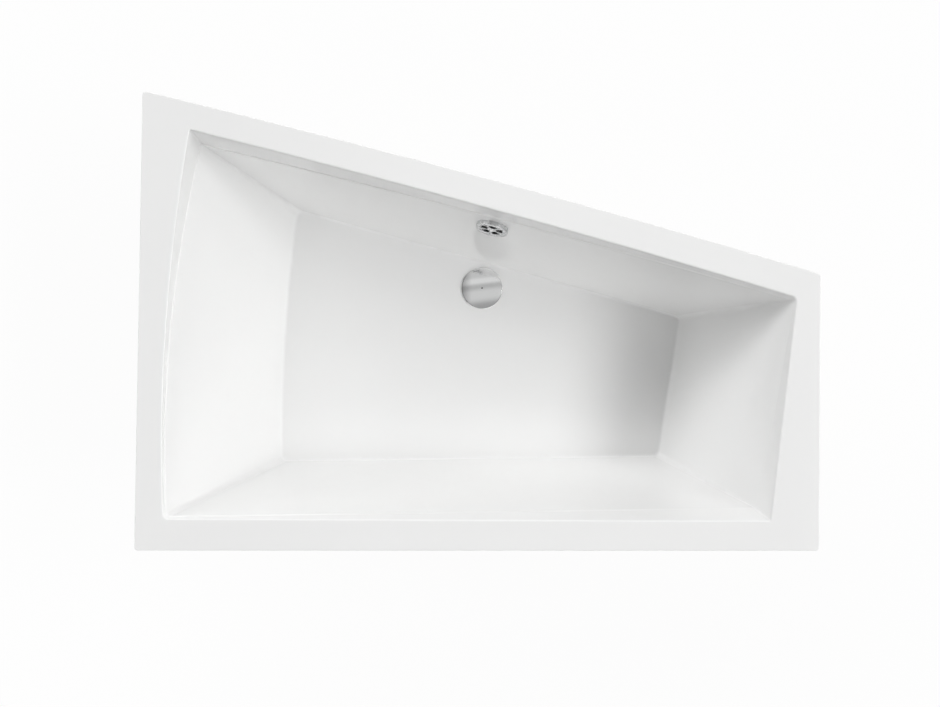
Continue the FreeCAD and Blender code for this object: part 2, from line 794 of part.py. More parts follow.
def drain_body():
    """Housing under the floor: inlet chamber, partition, skirt, overflow inlet, outlet and cable stop."""
    solid = tube(body_flange_outer, body_bore, body_top - body_flange_height, body_top)
    solid = solid.fuse([rod(body_outer, V(0, 0, partition_low), V(0, 0, body_top)),
                        rod(skirt_outer, V(0, 0, skirt_low), V(0, 0, partition_top)),
                        rod(pipe_outer, V(0, 0, inlet_height), V(body_outer + inlet_length, 0, inlet_height)),
                        rod(outlet_outer, V(0, 0, outlet_height),
                            V(-skirt_outer - outlet_length, 0, outlet_height)),
                        crank_line(crank_boss_radius, crank_boss_start, crank_boss_end),
                        block(V(stop_near, body_bore + stop_root_depth, cable_height - stop_half_height),
                              V(stop_far, cable_side + stop_margin, cable_height + stop_half_height))])
    cuts = [rod(body_bore, V(0, 0, partition_top), V(0, 0, body_top)),
            rod(partition_hole, V(0, 0, partition_low), V(0, 0, partition_top)),
            rod(skirt_inner, V(0, 0, skirt_low), V(0, 0, partition_low)),
            rod(pipe_inner, V(0, 0, inlet_height), V(body_outer + inlet_length, 0, inlet_height)),
            rod(outlet_inner, V(-skirt_inner + body_wall, 0, outlet_height),
                V(-skirt_outer - outlet_length, 0, outlet_height)),
            crank_line(crank_shaft_radius + crank_shaft_fit, 0, crank_boss_end),
            crank_line(crank_bush_radius + crank_bush_fit, crank_boss_end - crank_bush_length, crank_boss_end),
            rod(cable_radius + stop_fit, V(stop_seat, cable_side, cable_height),
                V(stop_far, cable_side, cable_height)),
            rod(cable_bore_radius, V(stop_near, cable_side, cable_height),
                V(stop_far, cable_side, cable_height))]
    return solid.removeSplitter().cut(cuts)


def crank_line(radius, start, end):
    """Round bar on the crank's axis between two distances from the drain's middle plane."""
    return rod(radius, V(-crank_offset, start, crank_height), V(-crank_offset, end, crank_height))


def trap_cup():
    """Cup that holds the water seal and screws on from below."""
    rim = skirt_low + cup_collar_rise
    ledge = skirt_low - seal_squeeze_gap - cup_seal_thickness - seal_squeeze_gap
    bore = skirt_outer + cup_fit
    collar = bore + cup_collar_wall
    low, floor = cup_low, cup_low + cup_bottom_thickness
    step = ledge - cup_ledge
    cup = turned([(0, low), (skirt_outer, low), (skirt_outer, step), (collar, step), (collar, rim),
                  (bore, rim), (bore, ledge), (cup_inner, ledge), (cup_inner, floor), (0, floor)])
    grip = block(V(-cup_grip_radius, -cup_grip_width / 2, low - cup_grip_height),
                 V(cup_grip_radius, cup_grip_width / 2, low))
    return cup.fuse(grip).removeSplitter()


def trap_cup_seal():
    """Flat ring between the skirt and the cup."""
    top = skirt_low - seal_squeeze_gap
    return tube(skirt_outer, cup_inner, top - cup_seal_thickness, top)


def dip_tube():
    """Tube that hangs in the partition and dips into the water of the cup."""
    low, top = cup_low + cup_bottom_thickness + dip_water_gap, partition_top + dip_flange_height
    inner = dip_outer - dip_wall
    flange = tube(partition_hole + dip_flange_over, inner, partition_top, top)
    return tube(dip_outer, inner, low, top).fuse(flange).removeSplitter()


def drain_cover():
    """Domed round cover on the floor."""
    low, edge = cover_low, cover_low + cover_edge
    radius = cover_radius
    dome = (radius * radius + cover_rise * cover_rise) / (2 * cover_rise)
    cap = Part.makeSphere(dome, V(0, 0, edge + cover_rise - dome))
    disc = rod(radius, V(0, 0, low), V(0, 0, edge + cover_rise))
    cover = disc.common(cap)
    rims = [e for e in cover.Edges if abs(e.BoundBox.XLength - 2 * radius) < pick_tolerance]
    return cover.makeFillet(cover_edge_round, rims)


def plug_stem():
    """Carrier under the cover with the stem that the crank lifts."""
    top = cover_low - carrier_recess
    low = top - carrier_height
    ledge = carrier_radius + carrier_ledge_width
    carrier = turned([(0, low), (ledge, low), (ledge, low + carrier_ledge_height),
                      (carrier_radius, low + carrier_ledge_height), (carrier_radius, top), (0, top)])
    return carrier.fuse(rod(stem_radius, V(0, 0, stem_low), V(0, 0, low))).removeSplitter()


def plug_seal():
    """Ring on the carrier that closes the waste."""
    low = cover_low - carrier_recess - carrier_height + carrier_ledge_height + seal_squeeze_gap
    return tube(plug_seal_outer, carrier_radius + plug_seal_fit, low, low + plug_seal_height)


def at_rest(shape):
    """Crank piece drawn at mid travel, turned to the closed position."""
    copy = shape.copy()
    copy.rotate(V(-crank_offset, 0, crank_height), V(0, 1, 0), crank_half_deg)
    return copy


def lift_crank():
    """Shaft through the housing with the finger under the plug stem."""
    shaft = crank_line(crank_shaft_radius, -crank_inner_end, lever_end + crank_end_over)
    half = crank_finger_half_width
    finger = block(V(-crank_offset, -half, crank_height - crank_finger_half_height),
                   V(0, half, crank_height + crank_finger_half_height))
    tip = rod(crank_tip_radius, V(0, -half, crank_height), V(0, half, crank_height))
    return at_rest(shaft.fuse([finger, tip]).removeSplitter())


def cable_lever():
    """Lever on the outer end of the shaft that the cable pulls."""
    start, end = lever_start, lever_end
    tip = V(-crank_offset, 0, crank_height - lever_length)
    bar = block(V(-crank_offset - lever_tip_radius, start, tip.z),
                V(-crank_offset + lever_tip_radius, end, crank_height))
    eye = rod(lever_tip_radius, tip + V(0, start, 0), tip + V(0, end, 0))
    hub = crank_line(lever_hub_radius, start, end)
    hole = rod(lever_hole_radius, tip + V(0, start, 0), tip + V(0, end, 0))
    bore = crank_line(crank_shaft_radius + lever_hub_fit, start, end)
    return at_rest(bar.fuse([eye, hub]).removeSplitter().cut([hole, bore]))


def crank_bush():
    """Sealing bush round the shaft in the housing's boss."""
    end = crank_boss_end
    return crank_line(crank_bush_radius, end - crank_bush_length, end).cut(
        crank_line(crank_shaft_radius + crank_shaft_fit, end - crank_bush_length, end))


def cable_path():
    """Route of the cable in the waste's own frame: out from the stop, round one bend and up."""
    back = DRAIN.inverse().multVec(OVERFLOW.multVec(V(0, 0, housing_front - pipe_back)))
    start = V(stop_seat, cable_side, cable_height)
    drop = math.sqrt(housing_outer * housing_outer - cable_top_side * cable_top_side)
    end = V(back.x, cable_top_side + back.y, back.z - drop + cable_top_inside)
    corner = V(back.x, cable_side, cable_height)
    return elbow_path(start, V(1, 0, 0), corner, (end - corner).normalize(), end, cable_bend)


def cable_sheath():
    """Outer cable from the stop at the waste to the overflow housing."""
    start = V(stop_seat, cable_side, cable_height)
    deep = core_inside + cable_travel + cable_bore_spare
    bore = rod(cable_bore_radius, start, start + V(deep, 0, 0))
    return swept(cable_path(), cable_radius).cut(bore)


def cable_end():
    """End of the inner wire with the nipple in the lever."""
    x = -crank_offset - cable_travel / 2
    wire = rod(cable_core_radius, V(x, cable_side, cable_height),
               V(stop_seat + core_inside, cable_side, cable_height))
    nipple = rod(nipple_radius, V(x, lever_start - nipple_overhang, cable_height),
                 V(x, cable_side + nipple_overhang, cable_height))
    return wire.fuse(nipple).removeSplitter()


def overflow_housing():
    """Housing behind the wall with screw bosses, spindle bearing, pipe spigot and cable nipple."""
    front, end = housing_front, housing_end
    solid = tube(housing_flange_outer, housing_inner, front - housing_flange, front)
    solid = solid.fuse(rod(housing_outer, V(0, 0, end), V(0, 0, front)))
    solid = placed(solid, OVERFLOW)
    spigot_end = V(pipe_axis_top.x, pipe_axis_top.y, pipe_axis_top.z - housing_outer - pipe_spigot_length)
    path = cable_path().Edges[-1]
    finish = DRAIN.multVec(path.Vertexes[-1].Point)
    first = DRAIN.multVec(path.Vertexes[0].Point)
    down = (first - finish).normalize()
    nipple = rod(cable_radius + cable_nipple_wall, finish, finish + down * cable_nipple_length)
    solid = solid.fuse([rod(pipe_outer, pipe_axis_top, spigot_end), nipple]).removeSplitter()
    bore = placed(rod(housing_inner, V(0, 0, end + housing_back), V(0, 0, front)), OVERFLOW)
    solid = solid.cut([bore, rod(pipe_inner, pipe_axis_top, spigot_end)])
    bosses = [rod(fixing_boss_radius, V(s * fixing_screw_pitch, 0, end),
                  V(s * fixing_screw_pitch, 0, front - housing_boss_start)) for s in (-1, 1)]
    bearing = rod(bearing_boss_radius, V(0, 0, end), V(0, 0, end + housing_back + bearing_boss_length))
    inner = bosses[0].fuse([bosses[1], bearing])
    solid = solid.fuse(placed(inner, OVERFLOW)).removeSplitter()
    fit = fixing_screw_radius + fixing_screw_pilot_gap
    tip = front - housing_boss_start - fixing_screw_bite - fixing_hole_spare
    cuts = [rod(fit, V(s * fixing_screw_pitch, 0, tip), V(s * fixing_screw_pitch, 0, front)) for s in (-1, 1)]
    cuts.append(rod(spindle_radius + spindle_fit, V(0, 0, end + housing_back), V(0, 0, front)))
    return solid.cut([placed(c, OVERFLOW) for c in cuts]
                     + [rod(cable_radius + stop_fit, finish, finish + down * cable_nipple_length)])


def overflow_gasket():
    """Ring between the housing and the back of the wall."""
    low = gasket_front - overflow_gasket_thickness
    return placed(tube(overflow_gasket_outer, overflow_gasket_inner, low, gasket_front), OVERFLOW)


def overflow_bezel():
    """Spoked plate on the inside of the wall that the two screws pull against the housing."""
    front = bezel_gap + bezel_plate
    solid = rod(bezel_radius, V(0, 0, bezel_gap), V(0, 0, front))
    hub = rod(bezel_hub_radius, V(0, 0, -bezel_hub_back), V(0, 0, front + bezel_hub_front))
    solid = solid.fuse(hub).removeSplitter()
    step = 360 / bezel_window_count
    outer, inner = overflow_hole_radius - bezel_window_rim_gap, bezel_hub_radius + bezel_window_hub_gap
    cuts = [sector(outer, inner, bezel_gap, front, step * (i + 0.5), bezel_window_deg)
            for i in range(bezel_window_count)]
    cuts.append(rod(spindle_radius + spindle_fit, V(0, 0, -bezel_hub_back), V(0, 0, front + bezel_hub_front)))
    hole = fixing_screw_radius + fixing_screw_fit
    cuts += [rod(hole, V(s * fixing_screw_pitch, 0, bezel_gap), V(s * fixing_screw_pitch, 0, front))
             for s in (-1, 1)]
    return placed(solid.cut(cuts), OVERFLOW)


def overflow_screws():
    """Two screws from the bezel into the housing's bosses."""
    seat = bezel_gap + bezel_plate
    tip = housing_front - housing_boss_start - fixing_screw_bite
    made = []
    for s in (-1, 1):
        x = s * fixing_screw_pitch
        screw = rod(fixing_head_radius, V(x, 0, seat), V(x, 0, seat + fixing_head_height))
        screw = screw.fuse(rod(fixing_screw_radius, V(x, 0, tip), V(x, 0, seat))).removeSplitter()
        made.append(placed(screw, OVERFLOW))
    return Part.makeCompound(made)


def overflow_knob():
    """Turning cap with a dished face, water slots and a socket for the spindle."""
    back, front = knob_back_gap, knob_front
    face = knob_seat - knob_wall
    cap = rod(knob_radius, V(0, 0, back), V(0, 0, front))
    rims = [e for e in cap.Edges if e.BoundBox.Center.z > front - pick_tolerance]
    cap = cap.makeFillet(knob_edge_round, rims)
    cap = cap.cut([rod(knob_radius - knob_wall, V(0, 0, back), V(0, 0, face)),
                   rod(knob_dish_radius, V(0, 0, knob_seat), V(0, 0, front))])
    boss = rod(knob_boss_radius, V(0, 0, knob_boss_back()), V(0, 0, face))
    cap = cap.fuse(boss).removeSplitter()
    step = 360 / knob_slot_count
    outer, inner = knob_dish_radius - knob_slot_rim_gap, knob_boss_radius + knob_slot_boss_gap
    cuts = [sector(outer, inner, face, front, step * i + step / 4, knob_slot_deg)
            for i in range(knob_slot_count)]
    cuts.append(rod(spindle_radius + knob_socket_fit, V(0, 0, back), V(0, 0, spindle_front())))
    cuts.append(rod(knob_screw_radius + knob_screw_fit, V(0, 0, back), V(0, 0, front)))
    return placed(cap.cut(cuts), OVERFLOW)


def knob_boss_back():
    """Height of the knob boss's back end, just in front of the bezel's hub."""
    return bezel_gap + bezel_plate + bezel_hub_front + knob_boss_gap


def spindle_front():
    """Height of the spindle's front end in the knob's socket."""
    return knob_seat - knob_socket_floor


def knob_screw():
    """Screw that holds the knob on the spindle."""
    head = rod(knob_screw_head_radius, V(0, 0, knob_seat), V(0, 0, knob_seat + knob_screw_head_height))
    shank = rod(knob_screw_radius, V(0, 0, knob_seat - knob_screw_length), V(0, 0, knob_seat))
    return placed(head.fuse(shank).removeSplitter(), OVERFLOW)


def spindle():
    """Shaft from the knob to the bearing with the cam that pulls the cable."""
    end = housing_end + housing_back + bearing_end_gap
    shaft = rod(spindle_radius, V(0, 0, end), V(0, 0, spindle_front()))
    cam_top = housing_front - cam_front
    cam = rod(cam_radius, V(0, 0, cam_top - cam_thickness), V(0, 0, cam_top))
    pin = rod(cam_pin_radius, V(cam_pin_pitch, 0, cam_top), V(cam_pin_pitch, 0, cam_top + cam_pin_length))
    deep = knob_seat - knob_screw_length - knob_screw_hole_spare
    hole = rod(knob_screw_radius + knob_screw_fit, V(0, 0, deep), V(0, 0, spindle_front()))
    return placed(shaft.fuse([cam, pin]).removeSplitter().cut(hole), OVERFLOW)


def pipe_ends():
    """Lower and upper end of the overflow pipe in the waste's own frame."""
    joint = pipe_seal_thickness + 2 * seal_squeeze_gap
    top = pipe_axis_top.z - housing_outer - pipe_spigot_length - joint
    return V(body_outer + inlet_length + joint, 0, inlet_height), V(pipe_reach, 0, top)


def overflow_pipe():
    """Pipe from the overflow housing down to the waste."""
    low, high = pipe_ends()
    path = elbow_path(low, V(1, 0, 0), V(pipe_reach, 0, inlet_height), UP, high, pipe_bend)
    return swept(path, pipe_outer).cut(swept(path, pipe_inner))


def pipe_seal(at_top):
    """Flat ring at one end of the overflow pipe."""
    low, high = pipe_ends()
    ring = tube(pipe_outer - pipe_seal_inset, pipe_inner + pipe_seal_inset, seal_squeeze_gap,
                seal_squeeze_gap + pipe_seal_thickness)
    if at_top:
        return placed(ring, frame_at(high, V(1, 0, 0), UP))
    return placed(ring, frame_at(low, V(0, 1, 0), V(-1, 0, 0)))


def pipe_nut(at_top):
    """Union nut round one joint of the overflow pipe."""
    low, high = pipe_ends()
    nut = prism(2 * nut_outer, nut_flat_count, -nut_length / 2, nut_length / 2)
    nut = nut.cut(rod(pipe_outer + nut_fit, V(0, 0, -nut_length / 2), V(0, 0, nut_length / 2)))
    if at_top:
        return placed(nut, frame_at(high, V(1, 0, 0), UP))
    return placed(nut, frame_at(low, V(0, 1, 0), V(-1, 0, 0)))


def outlet_face():
    """Middle of the outlet spigot's end in the waste's own frame."""
    return V(-skirt_outer - outlet_length, 0, outlet_height)


def outlet_frame():
    """Frame at the outlet's end, with Z pointing out of the waste and X to the side of the bend."""
    return frame_at(outlet_face(), V(0, 1, 0), V(-1, 0, 0))


def outlet_seal():
    """Flat ring at the outlet."""
    return placed(tube(outlet_outer, outlet_inner, seal_squeeze_gap, seal_squeeze_gap + outlet_seal_thickness),
                  outlet_frame())


def outlet_nut():
    """Union nut round the outlet joint."""
    low, high = -outlet_nut_over, outlet_nut_length - outlet_nut_over
    nut = prism(2 * (outlet_outer + outlet_nut_wall), nut_flat_count, low, high)
    return placed(nut.cut(rod(outlet_outer + bend_fit, V(0, 0, low), V(0, 0, high))), outlet_frame())


def bend_path():
    """Route of the outlet bend in its own frame."""
    start = V(0, 0, outlet_seal_thickness + seal_squeeze_gap + bend_fit)
    turn = math.radians(bend_deg)
    corner = start + V(0, 0, bend_lead + bend_radius * math.tan(turn / 2))
    second = V(math.sin(turn), 0, math.cos(turn))
    end = corner + second * (bend_spigot + bend_radius * math.tan(turn / 2))
    return elbow_path(start, UP, corner, second, end, bend_radius)


def outlet_bend():
    """Bend on the outlet that can be turned to meet the house pipe."""
    path = bend_path()
    return placed(swept(path, outlet_outer).cut(swept(path, outlet_inner)), outlet_frame())


def in_floor(shape):
    """A waste piece moved from its own frame to its place in the tub."""
    return placed(shape, DRAIN)


def drain_ring(outer, low, thickness):
    """Flat seal round the hole in the floor."""
    return tube(outer, drain_hole_radius + seal_hole_gap, low, low + thickness)


def all_parts():
    """Every node of the part by name."""
    web_inside = board_low - rail_height + rail_sheet
    web_under = board_low - rail_height
    made = {"tub_shell": tub_shell(), "laminate_backing": laminate_backing(), "base_board": base_board()}
    made.update(rim_battens())
    for name, span in rail_spans().items():
        made["leg_rail_" + name] = leg_rail(*span)
    made["rail_screws"] = rail_screws()
    made["rail_weld_nuts"] = rail_nuts(foot_nut_height, web_inside)
    made["foot_lock_nuts"] = rail_nuts(foot_lock_nut_height, web_under - foot_lock_nut_height)
    made.update(feet())
    waste = {"drain_flange": drain_flange(), "drain_body": drain_body(), "trap_cup": trap_cup(),
             "drain_flange_seal": drain_ring(flange_outer - flange_seal_inset,
                                             pocket_floor + seal_squeeze_gap, flange_seal_thickness),
             "drain_gasket": drain_ring(boss_radius, gasket_top - gasket_thickness, gasket_thickness),
             "trap_cup_seal": trap_cup_seal(), "dip_tube": dip_tube(), "drain_cover": drain_cover(),
             "plug_stem": plug_stem(), "plug_seal": plug_seal(), "lift_crank": lift_crank(),
             "cable_lever": cable_lever(), "crank_bush": crank_bush(), "cable_sheath": cable_sheath(),
             "cable_end": cable_end(), "overflow_pipe": overflow_pipe(), "pipe_seal_top": pipe_seal(True),
             "pipe_seal_low": pipe_seal(False), "pipe_nut_top": pipe_nut(True), "pipe_nut_low": pipe_nut(False),
             "outlet_seal": outlet_seal(), "outlet_nut": outlet_nut(), "outlet_bend": outlet_bend()}
    made.update({name: in_floor(shape) for name, shape in waste.items()})
    made["overflow_housing"] = overflow_housing()
    made["overflow_gasket"] = overflow_gasket()
    made["overflow_bezel"] = overflow_bezel()
    made["overflow_screws"] = overflow_screws()
    made["overflow_knob"] = overflow_knob()
    made["knob_screw"] = knob_screw()
    made["spindle"] = spindle()
    return made


os.makedirs("parts", exist_ok=True)
for node, shape in all_parts().items():
    solids = shape.Solids
    print(node, len(solids), shape.isValid(), round(shape.Volume / 1000, 2), "cm3")
    shape.exportStep("parts/" + node + ".step")
for label, frame, axis in (("overflow", OVERFLOW, V(0, 0, 1)), ("drain", DRAIN, V(1, 0, 0))):
    print(label, frame.Base, frame.Rotation.multVec(axis))
print("crank", DRAIN.multVec(V(-crank_offset, 0, crank_height)), DRAIN.Rotation.multVec(V(0, -1, 0)),
      "travel", crank_travel_deg, "cable travel", cable_travel)
print("outlet", DRAIN.multVec(outlet_face()), DRAIN.Rotation.multVec(V(-1, 0, 0)))
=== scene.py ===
"""Looks of an asymmetric built-in bathtub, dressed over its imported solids.

Metres, +Z up, in the frame of the solids. The formed sheet, its backing and the fittings that
show are modelled here; every other solid keeps its shape and gets a finish.
"""
import json
import logging
import math
from dataclasses import dataclass
from enum import Enum
from typing import Any, Iterable, Sequence

import bmesh
import bpy
from bmesh.types import BMEdge, BMesh, BMFace, BMVert
from bpy.types import Material, Node, NodeSocket, NodeTree, Object
from mathutils import Matrix, Vector

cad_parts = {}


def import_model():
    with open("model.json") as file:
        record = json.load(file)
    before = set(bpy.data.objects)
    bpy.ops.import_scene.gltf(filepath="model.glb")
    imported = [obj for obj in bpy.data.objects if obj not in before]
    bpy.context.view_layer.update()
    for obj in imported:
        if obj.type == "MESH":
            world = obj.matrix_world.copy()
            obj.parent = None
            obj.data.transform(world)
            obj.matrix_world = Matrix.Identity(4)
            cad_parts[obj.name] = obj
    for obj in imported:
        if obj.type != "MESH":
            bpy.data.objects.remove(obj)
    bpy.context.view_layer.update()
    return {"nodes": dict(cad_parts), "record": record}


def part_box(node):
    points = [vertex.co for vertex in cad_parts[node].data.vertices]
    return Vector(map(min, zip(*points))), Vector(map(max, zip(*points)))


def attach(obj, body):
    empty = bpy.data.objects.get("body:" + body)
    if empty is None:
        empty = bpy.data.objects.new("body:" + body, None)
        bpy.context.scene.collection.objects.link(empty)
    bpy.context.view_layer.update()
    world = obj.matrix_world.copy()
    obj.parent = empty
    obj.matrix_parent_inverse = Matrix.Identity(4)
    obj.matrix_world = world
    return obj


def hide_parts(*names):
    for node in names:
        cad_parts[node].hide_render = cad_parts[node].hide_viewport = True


LOG = logging.getLogger("bathtub")
UP = Vector((0, 0, 1))
FULL_TURN = 2 * math.pi
MERGE = 1e-6
FINE_CREASE = 30.0
SHEET_CREASE = 60.0

Colour = tuple[float, float, float]
Pair = tuple[float, float]


class Wire:
    """A value on a node board; arithmetic on it adds Math nodes."""

    def __init__(self, board: "Board", socket: NodeSocket) -> None:
        """Keep the board and the output socket."""
        self.board = board
        self.socket = socket

    def _math(self, operation: str, first: Any, second: Any) -> "Wire":
        """Output of one Math node on two wires or numbers."""
        return self.board.wire("ShaderNodeMath", {"operation": operation}, {0: first, 1: second})

    def __add__(self, other: Any) -> "Wire":
        """This plus another."""
        return self._math("ADD", self, other)

    def __radd__(self, other: Any) -> "Wire":
        """Another plus this."""
        return self._math("ADD", other, self)

    def __sub__(self, other: Any) -> "Wire":
        """This less another."""
        return self._math("SUBTRACT", self, other)

    def __rsub__(self, other: Any) -> "Wire":
        """Another less this."""
        return self._math("SUBTRACT", other, self)

    def __mul__(self, other: Any) -> "Wire":
        """This times another."""
        return self._math("MULTIPLY", self, other)

    def __rmul__(self, other: Any) -> "Wire":
        """Another times this."""
        return self._math("MULTIPLY", other, self)

    def most(self, other: Any) -> "Wire":
        """The larger of this and another."""
        return self._math("MAXIMUM", self, other)


class Board:
    """Node tree of a material or of the world."""

    def __init__(self, tree: NodeTree) -> None:
        """Start with an empty tree."""
        tree.nodes.clear()
        self.tree = tree

    def node(self, kind: str, settings: dict[str, Any] | None = None,
             inputs: dict[Any, Any] | None = None) -> Node:
        """Add one node.

        Args:
            kind: the node's type.
            settings: its properties, set first; stops are a ramp's places and colours.
            inputs: values or wires of its sockets, by name or number.

        Returns:
            The node.
        """
        made = self.tree.nodes.new(kind)
        for name, value in (settings or {}).items():
            if name == "stops":
                elements = made.color_ramp.elements
                while len(elements) < len(value):
                    elements.new(1.0)
                for stop, (place, colour) in zip(elements, value):
                    stop.position, stop.color = place, (*colour, 1)
            else:
                setattr(made, name, value)
        for name, value in (inputs or {}).items():
            if isinstance(value, Wire):
                self.tree.links.new(value.socket, made.inputs[name])
            else:
                made.inputs[name].default_value = value
        return made

    def wire(self, kind: str, settings: dict[str, Any] | None = None,
             inputs: dict[Any, Any] | None = None, output: Any = 0) -> Wire:
        """Add one node as node() does, and take one of its outputs by name or number."""
        return Wire(self, self.node(kind, settings, inputs).outputs[output])

    def place(self, scale: Colour = (1, 1, 1), turn: Colour = (0, 0, 0)) -> Wire:
        """Places on the object, turned and then scaled.

        Args:
            scale: scale along each axis.
            turn: turn round each axis in radians.

        Returns:
            The vector.
        """
        spot = self.wire("ShaderNodeTexCoord", output="Object")
        turned = self.wire("ShaderNodeMapping", {"vector_type": "POINT"}, {"Vector": spot, "Rotation": turn})
        return self.wire("ShaderNodeMapping", {"vector_type": "POINT"}, {"Vector": turned, "Scale": scale})

    def noise(self, vector: Wire, scale: float, detail: float = 2.0, rough: float = 0.5) -> Wire:
        """Soft noise between nought and one, with so many waves in a metre."""
        return self.wire("ShaderNodeTexNoise", {"noise_dimensions": "3D"},
                         {"Vector": vector, "Scale": scale, "Detail": detail, "Roughness": rough})

    def cells(self, vector: Wire, scale: float) -> Wire:
        """Cells with a random colour each, so many in a metre."""
        inputs = {"Vector": vector, "Scale": scale}
        return self.wire("ShaderNodeTexVoronoi", {"feature": "F1"}, inputs, "Color")

    def grey(self, colour: Wire) -> Wire:
        """Brightness of a colour."""
        return self.wire("ShaderNodeRGBToBW", {}, {"Color": colour})

    def ramp(self, value: Wire, stops: Sequence[tuple[float, Colour]]) -> Wire:
        """Colour from a value by a ramp of stops."""
        return self.wire("ShaderNodeValToRGB", {"stops": stops}, {0: value}, "Color")

    def tones(self, place: Wire, stops: Sequence[Pair]) -> Wire:
        """Grey from a distance by stops in metres.

        Args:
            place: the distance.
            stops: distance and grey of each stop.

        Returns:
            The colour.
        """
        first, last = stops[0][0], stops[-1][0]
        greys = [((spot - first) / (last - first), (tone, tone, tone)) for spot, tone in stops]
        return self.ramp((place - first) * (1 / (last - first)), greys)

    def mix(self, factor: Any, first: Any, second: Any, mode: str = "MIX") -> Wire:
        """Mix two colours.

        Args:
            factor: share of the second.
            first: a wire or a colour.
            second: a wire or a colour.
            mode: how they are mixed.

        Returns:
            The colour.
        """
        sides = [side if isinstance(side, Wire) else (*side, 1) for side in (first, second)]
        return self.wire("ShaderNodeMix", {"data_type": "RGBA", "blend_type": mode},
                         {0: factor, 6: sides[0], 7: sides[1]}, 2)

    def bump(self, height: Wire, depth: float, under: Wire | None = None) -> Wire:
        """Normal of a surface with a height on it.

        Args:
            height: the height from nought to one.
            depth: the real depth of one in metres.
            under: a coarser normal below it.

        Returns:
            The normal.
        """
        inputs = {"Height": height, "Distance": depth, "Strength": 1.0}
        if under is not None:
            inputs["Normal"] = under
        return self.wire("ShaderNodeBump", {}, inputs)


@dataclass(frozen=True)
class Finish:
    """A finish: one procedural material with its plain values."""

    name: str
    colour: Colour
    roughness: float
    metallic: float = 0.0

    def inputs(self, board: Board) -> dict[str, Any]:
        """Shader inputs that vary over the surface: none on a plain finish."""
        return {}

    def shade(self, factor: float) -> Colour:
        """The finish's colour made darker or lighter by a factor."""
        return tuple(min(1.0, channel * factor) for channel in self.colour)

    def shades(self, board: Board, value: Wire, tones: Sequence[Pair]) -> Wire:
        """The finish's colour, darker or lighter by a value; each stop is a value and a factor."""
        return board.ramp(value, [(place, self.shade(factor)) for place, factor in tones])

    def material(self) -> Material:
        """The finish's material, made at its first use.

        Returns:
            The material.
        """
        made = bpy.data.materials.get(self.name)
        if made is None:
            made = bpy.data.materials.new(self.name)
            made.use_nodes = True
            board = Board(made.node_tree)
            values = {"Base Color": (*self.colour, 1), "Roughness": self.roughness,
                      "Metallic": self.metallic}
            values.update(self.inputs(board))
            surface = board.wire("ShaderNodeBsdfPrincipled", {}, values)
            board.node("ShaderNodeOutputMaterial", {}, {"Surface": surface})
        return made


@dataclass(frozen=True)
class AcrylicFinish(Finish):
    """Glossy sanitary acrylic: a clear gloss over white, a little wavy from forming."""

    gloss_ior: float = 1.49
    coat_weight: float = 0.25
    coat_roughness: float = 0.04
    wave_scale: float = 7.0
    wave_depth: float = 0.00035
    skin_scale: float = 420.0
    skin_depth: float = 0.000004
    wipe_scale: float = 26.0
    wipe_dulls: float = 0.07
    wipe_coats: float = 0.12
    tint_scale: float = 4.0
    tint_tone: float = 0.985

    def inputs(self, board: Board) -> dict[str, Any]:
        """Shader inputs that vary over the surface.

        Args:
            board: the material's nodes.

        Returns:
            Values and wires by the name of their socket.
        """
        spot = board.place()
        wave = board.noise(spot, self.wave_scale, detail=1.0)
        skin = board.noise(spot, self.skin_scale, detail=1.0)
        wiped = board.noise(spot, self.wipe_scale, detail=4.0, rough=0.6)
        tint = board.mix(board.noise(spot, self.tint_scale, detail=3.0),
                         self.shade(self.tint_tone), self.colour)
        normal = board.bump(skin, self.skin_depth, board.bump(wave, self.wave_depth))
        return {"Base Color": tint, "Roughness": self.roughness + self.wipe_dulls * wiped,
                "IOR": self.gloss_ior, "Coat Weight": self.coat_weight + self.wipe_coats * wiped,
                "Coat Roughness": self.coat_roughness, "Normal": normal}


@dataclass(frozen=True)
class LaminateFinish(Finish):
    """Chopped glass strands in resin, rolled on by hand."""

    strand_length: float = 22.0
    strand_width: float = 300.0
    strand_depth: float = 0.0007
    strand_turns: tuple[Colour, ...] = ((0.3, 0.2, 0.1), (0.9, 0.5, 1.2), (0.2, 1.1, 2.2), (1.3, 0.1, 2.9))
    strand_tones: tuple[Pair, ...] = ((0.52, 0.60), (0.62, 0.88), (0.70, 1.0), (0.80, 1.22))
    resin_scale: float = 7.0
    resin_dulls: float = -0.3
    resin_stains: tuple[tuple[float, Colour], ...] = (
        (0.30, (0.72, 0.64, 0.46)), (0.50, (0.94, 0.92, 0.84)), (0.70, (1, 1, 1)))
    stain_share: float = 0.85
    roll_scale: float = 48.0
    roll_depth: float = 0.002
    roll_share: float = 0.4
    roll_dulls: float = 0.1

    def inputs(self, board: Board) -> dict[str, Any]:
        """Shader inputs that vary over the surface.

        Args:
            board: the material's nodes.

        Returns:
            Values and wires by the name of their socket.
        """
        size = (self.strand_length, self.strand_width, self.strand_width)
        layers = [board.noise(board.place(size, turn), scale=1.0, detail=1.0) for turn in self.strand_turns]
        strands = layers[0].most(layers[1]).most(layers[2]).most(layers[3])
        spot = board.place()
        resin = board.noise(spot, self.resin_scale, detail=6.0, rough=0.65)
        rolled = board.noise(spot, self.roll_scale, detail=3.0)
        pale = self.shades(board, strands, self.strand_tones)
        colour = board.mix(self.stain_share, pale, board.ramp(resin, self.resin_stains), "MULTIPLY")
        under = board.bump(resin + self.roll_share * rolled, self.roll_depth)
        return {"Base Color": colour, "Normal": board.bump(strands, self.strand_depth, under),
                "Roughness": self.roughness + self.resin_dulls * resin + self.roll_dulls * rolled}


